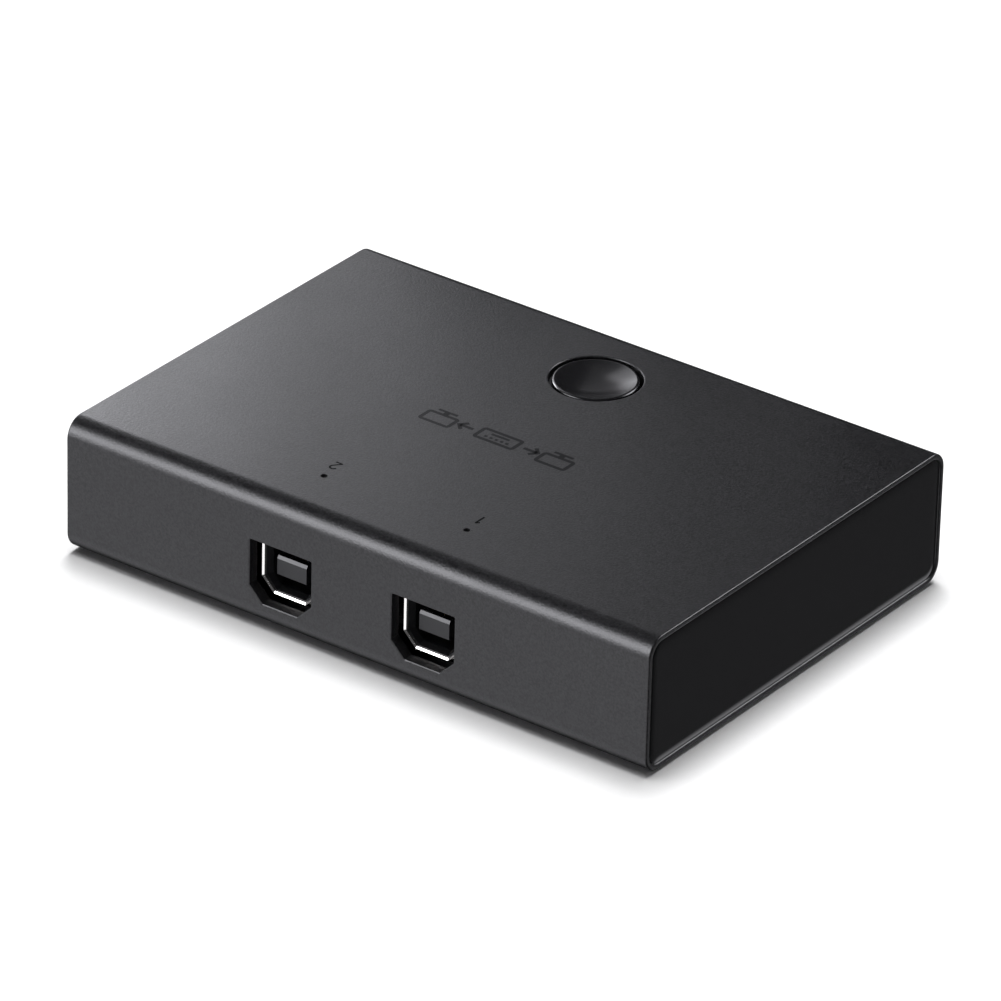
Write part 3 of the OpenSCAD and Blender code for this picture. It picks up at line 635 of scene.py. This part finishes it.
PANEL_INSET = LIP + 0.05 * MM
PANEL_RIM_W = 1.5 * MM
PANEL_RIM_D = 0.15 * MM
PANEL_RIM_STEPS = 16
PEG_R = 1.0 * MM
PEG_L = 1.6 * MM
PEG_SPREAD = 20 * MM
PEG_ROOT = 0.1 * MM


def make_end_panel(side, node):
    """A plate whose rim is rounded over like a pillow, with three pegs behind it."""
    low, high = corners(node)
    face_x = high.x if side > 0 else -low.x
    back_x = LEDGE_X + FRAME_T
    path = [(back_x, PANEL_INSET)]
    for i in range(PANEL_RIM_STEPS + 1):
        t = i / PANEL_RIM_STEPS
        path.append((face_x - PANEL_RIM_D * (1 - t) ** 2, PANEL_INSET + PANEL_RIM_W * t))
    bm = bmesh.new()
    origin = Vector((0, CASE_MID.y, CASE_MID.z))
    loops = [add_loop(bm, sleeve_section(inset), origin + X * (side * x), Y, Z) for x, inset in path]
    skin(bm, loops)
    panel = mesh_object(node + "_skin", bm)
    pegs = bmesh.new()
    for i in (-1, 0, 1):
        root = Vector((side * (back_x + PEG_ROOT), i * PEG_SPREAD, CASE_MID.z))
        extrude(pegs, circle_outline(PEG_R, 32), root, Y, Z, X * -side, PEG_L)
    combine(panel, mesh_object("pegs", pegs), "UNION")
    smooth(panel, 40)
    finish_piece(panel, "case", "panel_gloss", (node,))


make_end_panel(1, "end_panel_right")
make_end_panel(-1, "end_panel_left")


# ---------------------------------------- feet

def make_foot(place):
    """A moulded rubber pad with a rounded edge and a ring groove in its face."""
    node = "foot_" + place
    low, high = corners(node)
    radius = (high.x - low.x) / 2
    height = high.z - low.z
    top_chamfer = 0.05 * MM
    edge_r = 0.22 * MM
    groove_r = 0.16 * MM
    groove_place = 2.4 * MM
    # distance from the axis and height, from the seat down the side and back along the face
    profile = [(0, height), (radius - top_chamfer, height), (radius, height - top_chamfer)]
    profile += [(radius - edge_r * (1 - math.cos(a)), edge_r * (1 - math.sin(a))) for a in arc(0, 90, 6)]
    profile += [(groove_place + groove_r * math.cos(a), groove_r * math.sin(a)) for a in arc(0, 180, 6)]
    profile.append((0, 0))
    bm = bmesh.new()
    revolve(bm, profile, Vector(((low.x + high.x) / 2, (low.y + high.y) / 2, low.z)), 72)
    pad = mesh_object(node + "_skin", bm)
    smooth(pad, 50)
    finish_piece(pad, "case", "foot_rubber", (node,))


for place in FEET:
    make_foot(place)


# ---------------------------------------- button

LEG_ANGLES = (90, 210, 330)
LEG_SWEEP = 30


def ring_arc(bm, r_in, r_out, low, high, middle, sweep):
    """Part of a flat ring about the button's axis; middle and sweep are in degrees."""
    loops = []
    for a in arc(middle - sweep / 2, middle + sweep / 2, 8):
        out = Vector((math.cos(a), math.sin(a), 0))
        loops.append([bm.verts.new(BUTTON_AXIS + out * r + Z * h)
                      for r, h in ((r_in, low), (r_out, low), (r_out, high), (r_in, high))])
    skin(bm, loops)


def make_button():
    """A dished cap with a rolled rim, and its three hooked legs."""
    cap_r = 6.88 * MM
    rim_r = 0.42 * MM
    low_chamfer = 0.1 * MM
    shoulder = (0.06 * MM, -0.02 * MM)
    dish_r = cap_r - 1.3 * rim_r
    dish_d = 1.25 * MM
    dish_sink = 0.04 * MM
    dish_steps = 24
    top = -0.1 * MM
    bottom = -1.9 * MM
    sphere_r = (dish_r ** 2 + dish_d ** 2) / (2 * dish_d)
    dish_low = top - dish_d - dish_sink
    edge_angle = math.asin(dish_r / sphere_r)
    # distance from the axis and height, from the underside round the rim to the middle of the dish
    profile = [(0, bottom), (cap_r - low_chamfer, bottom), (cap_r, bottom + low_chamfer)]
    profile += [(cap_r - rim_r * (1 - math.cos(a)), top - rim_r * (1 - math.sin(a)))
                for a in arc(0, 90, 8)]
    profile.append((dish_r + shoulder[0], top + shoulder[1]))
    for k in range(dish_steps):
        a = edge_angle * (1 - k / dish_steps)
        profile.append((sphere_r * math.sin(a), dish_low + sphere_r * (1 - math.cos(a))))
    profile.append((0, dish_low))
    bm = bmesh.new()
    revolve(bm, profile, BUTTON_AXIS)
    button = mesh_object("button_cap_skin", bm)
    # inner and outer radius, then the height of the lower and the upper end, in millimetres
    for name, sizes in (("legs", (6.08, 7.38, -3.8, -1.2)), ("hooks", (7.2, 8.03, -3.05, -2.05))):
        bm = bmesh.new()
        for middle in LEG_ANGLES:
            ring_arc(bm, *(size * MM for size in sizes), middle, LEG_SWEEP)
        combine(button, mesh_object(name, bm), "UNION")
    smooth(button, 40)
    return finish_piece(button, "button", "button_plastic", ("button_cap",))


BUTTON = make_button()


def make_dome():
    """The snap dome inside the switch: a crowned disc, drawn at rest, which the plunger flattens in the real
    switch.
    """
    node = "switch_dome"
    low, high = corners(node)
    radius = (high.x - low.x) / 2
    height = high.z - low.z
    sheet = 0.12 * MM
    # a crown of 60 degrees to each side, drawn out to the dome's height and radius
    outer = [(radius * math.sin(a), height * (2 * math.cos(a) - 1)) for a in arc(0, 60, 10)]
    rim = outer[-1][0]
    outer = [(r * radius / rim, z) for r, z in outer]
    inner = [(r * (radius - sheet) / radius, z * (height - sheet) / height) for r, z in outer]
    bm = bmesh.new()
    revolve(bm, inner + outer[::-1], Vector((BUTTON_AXIS.x, BUTTON_AXIS.y, low.z)), 48)
    dome = mesh_object("snap_dome", bm)
    smooth(dome, 40)
    finish_piece(dome, "case", "can_metal", (node,))
    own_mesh(dome)


make_dome()


# ---------------------------------------- computer sockets

LEG_ROOT = 0.3 * MM
LEG_TOP = BOARD_TOP + 0.9 * MM


def socket_legs(origin, half_width, sheet, depth, width, top, inwards):
    """The two legs of a socket's shell that pass up through the board.

    depth is how far behind the front they stand, and width how wide they are from front to back."""
    bm = bmesh.new()
    for side in BOTH:
        mid = origin + X * (side * (half_width - sheet / 2)) + inwards * depth
        low = mid - Vector((sheet / 2, width / 2, 0))
        high = mid + Vector((sheet / 2, width / 2, 0))
        low.z = BOARD_Z - LEG_ROOT
        high.z = top
        add_box(bm, low, high)
    return mesh_object("legs", bm)


def make_host_shell(n):
    """A plated shell: a set-back body, and in front a thin collar with a rolled rim."""
    origin = MOUNTS["host_port_%d" % n]
    # width, height, cut corner, corner radius and lift, in millimetres, as are all sizes up to the legs
    body = (12.0, 10.8, 2.9, 0.5, -0.2)
    collar = (10.8, 9.8, 2.3, 0.5, 0)
    sheet = 0.35
    length = 16.0
    rim_r = 0.06

    def inside(size):
        """The same section on the inside of the sheet."""
        width, height, chamfer, radius, lift = size
        return width - 2 * sheet, height - 2 * sheet, chamfer - 0.2, radius * 0.7, lift

    # depth behind the front before each size: forwards outside, over the rim and back inside
    path = [(length, *body), (1.05, *body), (0.92, 11.8, 10.6, 2.8, 0.45, -0.2),
            (0.85, 11.4, 10.3, 2.6, 0.45, -0.1), (0.85, 10.9, 9.9, 2.35, 0.5, 0)]
    for a in arc(0, 90, 4):
        growth = -2 * rim_r * (1 - math.cos(a))
        path.append((rim_r * (1 - math.sin(a)), collar[0] + growth, collar[1] + growth,
                     collar[2] + growth * 0.3, collar[3], 0))
    path += [(0.19, *inside(collar)), (0.6, *inside(collar)), (1.25, *inside(body)),
             (length, *inside(body))]
    bm = bmesh.new()
    loops = []
    for depth, width, height, chamfer, radius, lift in path:
        outline = d_outline(width * MM, height * MM, chamfer * MM, radius * MM)
        loops.append(add_loop(bm, outline, origin + Y * (depth * MM) + Z * (lift * MM), X, Z))
    skin(bm, loops, closed=True)
    shell = mesh_object("host_shell_skin_%d" % n, bm)
    legs = socket_legs(origin, 6.0 * MM, sheet * MM, 13.5 * MM, 2.0 * MM, LEG_TOP, Y)
    combine(shell, legs, "UNION")
    # the opening in its upper wall through which the contacts reach the board
    slot = bmesh.new()
    add_box(slot, origin + Vector((-2.5 * MM, 10.0 * MM, 1.0 * MM)),
            origin + Vector((2.5 * MM, 14.4 * MM, 8.0 * MM)))
    combine(shell, mesh_object("slot", slot), "DIFFERENCE")
    smooth(shell, 28)
    finish_piece(shell, "case", "plated_shell", ("host_socket_shell_%d" % n,))


for number in (1, 2):
    make_host_shell(number)


# ---------------------------------------- device sockets

DEVICE_SHELL_W = 13.1 * MM
DEVICE_SHELL_H = 5.72 * MM
DEVICE_SHELL_L = 14.0 * MM
DEVICE_SHEET = 0.3 * MM
FLARE = 0.45 * MM
SPRING_X = 3.1 * MM


def spring_strip(bm, foot, outwards):
    """A leaf spring: a thin strip that leaves the wall at its rear end and bows into the socket."""
    half = 0.75 * MM
    thick = 0.2 * MM
    # depth behind the wall's edge and distance into the socket, in millimetres
    bow = [(7.4, 0.0), (6.4, 0.05), (5.4, 0.25), (4.6, 0.5), (4.0, 0.6), (3.4, 0.5), (2.8, 0.25)]
    loops = []
    for depth, dip in bow:
        mid = foot - Y * (depth * MM) - outwards * (dip * MM)
        loops.append([bm.verts.new(mid + X * s * half + outwards * t * thick / 2)
                      for s, t in ((-1, -1), (1, -1), (1, 1), (-1, 1))])
    skin(bm, loops)


def make_device_shell(i):
    """A folded socket shell: flared front edge, closed back, leaf springs in its wide walls."""
    origin = MOUNTS["device_port_%d" % i]
    sheet = DEVICE_SHEET
    outer_corner = 0.6
    inner_corner = 0.35
    # depth behind the front, growth of both sizes and corner radius in millimetres
    path = [(DEVICE_SHELL_L, 0, outer_corner), (0.9 * MM, 0, outer_corner),
            (0.5 * MM, 0.12 * MM, outer_corner), (0.18 * MM, FLARE * 0.8, outer_corner)]
    for a in arc(0, 180, 6):
        path.append((sheet / 2 * (1 - math.sin(a)), FLARE + sheet * (math.cos(a) - 1), outer_corner))
    path += [(0.35 * MM, FLARE * 0.75 - 2 * sheet, inner_corner),
             (0.7 * MM, 0.1 * MM - 2 * sheet, inner_corner),
             (1.0 * MM, -2 * sheet, inner_corner),
             (DEVICE_SHELL_L - sheet, -2 * sheet, inner_corner)]
    bm = bmesh.new()
    loops = [add_loop(bm, box_outline(DEVICE_SHELL_W + grow, DEVICE_SHELL_H + grow, radius * MM, 6),
                      origin - Y * depth, X, Z) for depth, grow, radius in path]
    skin(bm, loops)
    shell = mesh_object("device_shell_skin_%d" % i, bm)
    windows = bmesh.new()
    window_reach = Vector((1.05 * MM, 2.5 * MM, 0.6 * MM))
    for side in BOTH:
        for lift in BOTH:
            mid = origin + Vector((side * SPRING_X, -5.0 * MM, lift * DEVICE_SHELL_H / 2))
            add_box(windows, mid - window_reach, mid + window_reach)
    pins = origin + Vector((0, -12.0 * MM, 2.6 * MM))
    pins_reach = Vector((5.5 * MM, 1.0 * MM, 1.2 * MM))
    add_box(windows, pins - pins_reach, pins + pins_reach)
    combine(shell, mesh_object("windows", windows), "DIFFERENCE")
    springs = bmesh.new()
    for side in BOTH:
        for lift in BOTH:
            foot = origin + Vector((side * SPRING_X, -0.3 * MM, lift * (DEVICE_SHELL_H - sheet) / 2))
            spring_strip(springs, foot, Z * lift)
    combine(shell, mesh_object("springs", springs), "UNION")
    legs = socket_legs(origin, DEVICE_SHELL_W / 2, sheet, 5.5 * MM, 1.8 * MM, LEG_TOP, -Y)
    combine(shell, legs, "UNION")
    smooth(shell, 50)
    finish_piece(shell, "case", "plated_shell", ("device_socket_shell_%d" % i,))


for number in (1, 2, 3, 4):
    make_device_shell(number)


# ---------------------------------------- power socket

POWER_SHELL_W = 7.5 * MM
POWER_SHELL_H = 2.6 * MM
POWER_SHELL_L = 5.6 * MM
POWER_SHEET = 0.25 * MM


def make_power_shell():
    """A small folded shell with its two cut corners downwards and a flared front edge."""
    origin = MOUNTS["power_port"]
    sheet = POWER_SHEET
    # depth behind the front and growth of both sizes
    path = [(POWER_SHELL_L, 0), (0.7 * MM, 0), (0.3 * MM, 0.12 * MM)]
    for a in arc(0, 180, 6):
        path.append((sheet / 2 * (1 - math.sin(a)), 0.3 * MM + sheet * (math.cos(a) - 1)))
    path += [(0.45 * MM, 0.05 * MM - 2 * sheet), (0.8 * MM, -2 * sheet), (POWER_SHELL_L, -2 * sheet)]
    bm = bmesh.new()
    loops = [add_loop(bm, d_outline(POWER_SHELL_W + grow, POWER_SHELL_H + grow, 0.8 * MM + grow * 0.3,
                                    0.25 * MM), origin - Y * depth, X, Z) for depth, grow in path]
    skin(bm, loops, closed=True)
    shell = mesh_object("power_shell_skin", bm)
    legs = socket_legs(origin, POWER_SHELL_W / 2, sheet, 2.4 * MM, 1.1 * MM, BOARD_TOP, -Y)
    combine(shell, legs, "UNION")
    smooth(shell, 50)
    finish_piece(shell, "case", "plated_shell", ("power_socket_shell",))


make_power_shell()


# ---------------------------------------- prints on the top

# They reach a little into the top and stand a hair above it. Their sizes are in millimetres.
PRINT_LOW = CASE_HIGH.z - 0.02 * MM
PRINT_HIGH = CASE_HIGH.z + 0.008 * MM
NUMBER_TWO_AT = (-14.1, -24.35)
NUMBER_ONE_AT = (13.2, -24.35)
NUMBER_LINE = 0.34
PICTOGRAM_AT = (0, -1.85)
PICTOGRAM_LINE = 0.66
KEY_LINE = 0.56
SCREEN_X = 11.0


def place_print(points, centre):
    """Print coordinates in millimetres, turned to be read from the rear of the box."""
    return [Vector((centre[0] - p[0], centre[1] - p[1])) * MM for p in points]


def print_section(left, right):
    """The corners of a print's section: a side or outline of it, each with a height."""
    return (left, PRINT_LOW), (left, PRINT_HIGH), (right, PRINT_HIGH), (right, PRINT_LOW)


def ribbon(bm, left, right):
    """A thin raised line between its two sides."""
    skin(bm, [[bm.verts.new((p.x, p.y, z)) for p, z in print_section(a, b)] for a, b in zip(left, right)])


def ring_slab(bm, outer, inner):
    """A thin raised ring between two outlines."""
    loops = [[bm.verts.new((p.x, p.y, z)) for p in outline] for outline, z in print_section(outer, inner)]
    skin(bm, loops, closed=True)


def stroke_sides(path, width):
    """The two sides of a line of even width along a path."""
    left, right = [], []
    for i, point in enumerate(path):
        before = path[max(i - 1, 0)]
        after = path[min(i + 1, len(path) - 1)]
        if i in (0, len(path) - 1):
            along = (after - before).normalized()
            reach = 1.0
        else:
            first = (point - before).normalized()
            second = (after - point).normalized()
            along = (first + second).normalized()
            reach = 1 / max(0.3, math.cos(first.angle(second) / 2))
        out = Vector((-along.y, along.x)) * (width / 2 * reach)
        left.append(point + out)
        right.append(point - out)
    return left, right


def curve_points(centre, radius, start, end, steps):
    """Points along part of a circle, between two angles in degrees."""
    return [Vector((centre[0] + radius * math.cos(a), centre[1] + radius * math.sin(a)))
            for a in arc(start, end, steps)]


def draw_line(bm, path, width, centre):
    """A printed line of even width along a path about a centre."""
    left, right = stroke_sides([Vector(p) for p in path], width)
    ribbon(bm, place_print(left, centre), place_print(right, centre))


def make_numbers():
    """The numbers 2 and 1 beside the indicators."""
    bow_of_two = curve_points((0, 0.52), 0.56, 170, -40, 14) + [Vector((-0.56, -1.0))]
    bm = bmesh.new()
    for place, lines in (
        (NUMBER_TWO_AT, (bow_of_two, [(-0.66, -1.0), (0.66, -1.0)])),
        (NUMBER_ONE_AT, ([(-0.50, 0.62), (0.02, 1.12)], [(0.0, 1.17), (0.0, -1.17)])),
    ):
        for line in lines:
            draw_line(bm, line, NUMBER_LINE, place)
    finish_piece(mesh_object("port_numbers", bm), "case", None, material=NUMBER_INK)


def draw_frame(bm, width, height, radius, place, centre):
    """A printed frame with rounded corners, whose middle is at a place about a centre."""
    outlines = []
    for inset in (0, PICTOGRAM_LINE):
        corner = max(radius - inset, 0.05)
        outline = box_outline(width - 2 * inset, height - 2 * inset, corner, 5)
        outlines.append(place_print([p + Vector(place) for p in outline], centre))
    ring_slab(bm, *outlines)


def make_pictogram():
    """Two screens that share one keyboard, with an arrow from it to each of them."""
    line = PICTOGRAM_LINE
    centre = PICTOGRAM_AT
    bm = bmesh.new()
    for side in BOTH:
        u = side * SCREEN_X
        draw_frame(bm, 6.0, 3.5, 0.7, (u, 0.55), centre)
        draw_line(bm, [(u, -1.1), (u, -1.75)], line * 1.5, centre)
        draw_line(bm, [(u - 1.8, -1.95), (u + 1.8, -1.95)], line * 0.85, centre)
        draw_line(bm, [(side * 4.8, 0), (side * 7.3, 0)], line, centre)
        draw_line(bm, [(side * 6.4, 1.15), (side * 7.5, 0), (side * 6.4, -1.15)], line, centre)
    draw_frame(bm, 7.8, 3.7, 0.7, (0, 0), centre)
    for u in (-2.0, -1.0, 0, 1.0, 2.0):
        draw_line(bm, [(u - KEY_LINE / 2, 0.55), (u + KEY_LINE / 2, 0.55)], KEY_LINE, centre)
    draw_line(bm, [(-1.7, -0.55), (1.7, -0.55)], KEY_LINE, centre)
    finish_piece(mesh_object("top_prints", bm), "case", None, material=INK)


make_numbers()
make_pictogram()


# ---------------------------------------- softened edges on the CAD's own parts

def soften(node, width):
    """A narrow bevel on a CAD node's sharp edges, put on as a modifier."""
    piece = frame["nodes"][node]
    edges = piece.modifiers.new("soft_edges", "BEVEL")
    edges.width = width
    edges.segments = 2
    edges.limit_method = "ANGLE"
    edges.angle_limit = math.radians(35)


for number in (1, 2):
    soften("host_socket_insert_%d" % number, 0.10 * MM)
    soften("host_socket_contacts_%d" % number, 0.05 * MM)
for number in (1, 2, 3, 4):
    soften("device_socket_tongue_%d" % number, 0.10 * MM)
    soften("device_socket_contacts_%d" % number, 0.05 * MM)
soften("power_socket_tongue", 0.05 * MM)


# ---------------------------------------- camera, floor and light

CAMERA_AZIMUTH = 35.845
CAMERA_ELEVATION = 28.688
CAMERA_ROLL = 1.454
CAMERA_PLACE = Vector((0.67196, -0.93106, 0.63954 + CASE_LOW.z))
CAMERA_LENS = 306.3
FLOOR_REACH = 3.0
COOL_WHITE = (0.98, 0.98, 1.03)
PLAIN_WHITE = (1, 1, 1)

# Softboxes, which light the object but aren't mirrored in it: azimuth, elevation and power
SOFTBOX_SIDE = 0.5
SOFTBOX_DISTANCE = 1.2
SOFTBOXES = {
    "overhead": (0, 90, 9.7),
    "rear_high": (120, 70, 9.4),
    "front_high": (240, 70, 3.0),
    "left_mid": (180, 45, 0.5),
    "right_mid": (0, 45, 0.8),
    "front_low": (262, 14, 0.7),
}

# Cards that make the sheen on the top run from bright at the left to dark at the right: where on the
# floor plane each one is aimed, its power and, if it is flagged off the rest, the piece that it lights.
# All stand where the top mirrors them to the camera.
CARD_SIDE = 0.08
CARD_DISTANCE = 0.16
CARD_DIRECTION = Vector((-0.51, 0.71, 0.48))
SHEEN_CARDS = (
    (-0.10, -0.06, 0.0835, None),
    (-0.10, 0.04, 0.0187, None),
    (-0.06, -0.06, 0.0244, None),
    (-0.06, -0.01, 0.0125, None),
    (0.02, -0.06, 0.0053, None),
    (0.06, -0.06, 0.0040, SLEEVE),
)

# Cards for the button alone, for the bright crescent on its rim and the sheen in its dish: direction
# from the button, side and power
BUTTON_CARD_DISTANCE = 0.3
BUTTON_CARDS = {
    "rim_card": ((-0.94, 0.05, 0.31), 0.12, 0.50),
    "dish_card": ((-0.76, 0.33, 0.56), 0.17, 0.14),
}

# Soft spots of light all round, seen in reflections only: direction, half angle in degrees, brightness
REFLECTORS = (
    ((-0.51, -0.71, -0.48), 60, 1.10),    # mirrored by the front wall
    ((0.51, 0.71, -0.48), 20, 0.15),      # by the end panel's face
    ((0.25, 0.71, -0.66), 13, 1.1),       # by the end panel's lower rim
    ((-0.51, -0.765, 0.395), 27, 9.4),    # by the rounded edge above the front wall
    ((0.48, 0.71, 0.51), 22, 10.0),       # by the lip's upper edge at the right end
    ((0.40, -0.78, -0.48), 20, 1.7),      # by the walls of the computer sockets, one after another
    ((0.51, -0.71, 0.48), 50, 0.12),      # by what faces the camera
)


def make_camera():
    """A long lens to the front right of the box and above it."""
    data = bpy.data.cameras.new("camera")
    data.sensor_width = 36
    data.lens = CAMERA_LENS
    data.clip_start = 0.01
    data.clip_end = 50
    camera = bpy.data.objects.new("camera", data)
    bpy.context.collection.objects.link(camera)
    turn = (Matrix.Rotation(math.radians(CAMERA_AZIMUTH), 4, "Z")
            @ Matrix.Rotation(math.radians(90 - CAMERA_ELEVATION), 4, "X")
            @ Matrix.Rotation(math.radians(CAMERA_ROLL), 4, "Z"))
    camera.matrix_world = Matrix.Translation(CAMERA_PLACE) @ turn
    bpy.context.scene.camera = camera


def make_floor():
    """A sheet of pale paper that the box doesn't mirror."""
    bm = bmesh.new()
    bmesh.ops.create_grid(bm, x_segments=8, y_segments=8, size=FLOOR_REACH)
    floor = mesh_object("floor", bm)
    material, tree, shader = nodes_of("floor_paper")
    fibre = noise_value(tree, coordinates(tree), 2 * MM, 3.0, 0.6)
    tree.links.new(blend_colour(tree, fibre, (0.86, 0.86, 0.865), (0.90, 0.90, 0.905)),
                   shader.inputs["Base Color"])
    shader.inputs["Roughness"].default_value = 0.9
    shader.inputs["Specular IOR Level"].default_value = 0.1
    floor.data.materials.append(material)
    floor.visible_glossy = False


def area_light(name, place, target, side, power, colour):
    """A square lamp that points at a target, isn't seen by the camera and isn't mirrored."""
    data = bpy.data.lights.new(name, "AREA")
    data.size = side
    data.energy = power
    data.color = colour
    lamp = bpy.data.objects.new(name, data)
    lamp.location = place
    lamp.rotation_euler = (target - place).to_track_quat("-Z", "Y").to_euler()
    lamp.visible_camera = False
    lamp.visible_glossy = False
    bpy.context.collection.objects.link(lamp)
    return lamp


def glossy_card(name, place, target, side, power, piece=None):
    """A lamp that is seen in reflections only, and by one piece alone if one is given."""
    lamp = area_light(name, place, target, side, power, COOL_WHITE)
    lamp.visible_glossy = True
    lamp.visible_diffuse = False
    if piece:
        lit = bpy.data.collections.new(name + "_lights")
        lit.objects.link(piece)
        lamp.light_linking.receiver_collection = lit


def from_sky(azimuth, elevation, distance):
    """A point at a distance from the origin, in a direction given in degrees."""
    a = math.radians(azimuth)
    e = math.radians(elevation)
    return Vector((math.cos(e) * math.cos(a), math.cos(e) * math.sin(a), math.sin(e))) * distance


def make_lights():
    """The softboxes, then the cards for the top's sheen and those for the button."""
    for name, (azimuth, elevation, power) in SOFTBOXES.items():
        place = from_sky(azimuth, elevation, SOFTBOX_DISTANCE)
        area_light(name, place, Vector((0, 0, 0)), SOFTBOX_SIDE, power, PLAIN_WHITE)
    for i, (x, y, power, piece) in enumerate(SHEEN_CARDS):
        target = Vector((x, y, 0))
        place = target + CARD_DIRECTION * CARD_DISTANCE
        glossy_card("card_%d" % (i + 1), place, target, CARD_SIDE, power, piece)
    for name, (direction, side, power) in BUTTON_CARDS.items():
        place = BUTTON_AXIS + Vector(direction) * BUTTON_CARD_DISTANCE
        glossy_card(name, place, BUTTON_AXIS, side, power, BUTTON)


def make_world():
    """A dark studio with soft reflectors: what the object mirrors, apart from the cards."""
    world = bpy.data.worlds.new("studio")
    world.use_nodes = True
    tree = world.node_tree
    tree.nodes.clear()
    place = tree.nodes.new("ShaderNodeTexCoord")
    total = None
    for direction, half_angle, brightness in REFLECTORS:
        facing = tree.nodes.new("ShaderNodeVectorMath")
        facing.operation = "DOT_PRODUCT"
        facing.inputs[1].default_value = Vector(direction).normalized()
        tree.links.new(place.outputs["Generated"], facing.inputs[0])
        spot = tree.nodes.new("ShaderNodeMapRange")
        spot.interpolation_type = "SMOOTHSTEP"
        spot.inputs["From Min"].default_value = math.cos(math.radians(half_angle))
        spot.inputs["To Max"].default_value = brightness
        tree.links.new(facing.outputs["Value"], spot.inputs["Value"])
        if total is None:
            total = spot.outputs["Result"]
        else:
            both = tree.nodes.new("ShaderNodeMath")
            both.operation = "ADD"
            tree.links.new(total, both.inputs[0])
            tree.links.new(spot.outputs["Result"], both.inputs[1])
            total = both.outputs["Value"]
    mirrored = tree.nodes.new("ShaderNodeBackground")
    mirrored.inputs["Color"].default_value = (*COOL_WHITE, 1)
    tree.links.new(total, mirrored.inputs["Strength"])
    dark = tree.nodes.new("ShaderNodeBackground")
    dark.inputs["Strength"].default_value = 0.0
    path = tree.nodes.new("ShaderNodeLightPath")
    choice = tree.nodes.new("ShaderNodeMixShader")
    tree.links.new(path.outputs["Is Glossy Ray"], choice.inputs[0])
    tree.links.new(dark.outputs["Background"], choice.inputs[1])
    tree.links.new(mirrored.outputs["Background"], choice.inputs[2])
    out = tree.nodes.new("ShaderNodeOutputWorld")
    tree.links.new(choice.outputs["Shader"], out.inputs["Surface"])
    bpy.context.scene.world = world


make_camera()
make_floor()
make_world()
make_lights()
bpy.context.scene.view_settings.view_transform = "Standard"
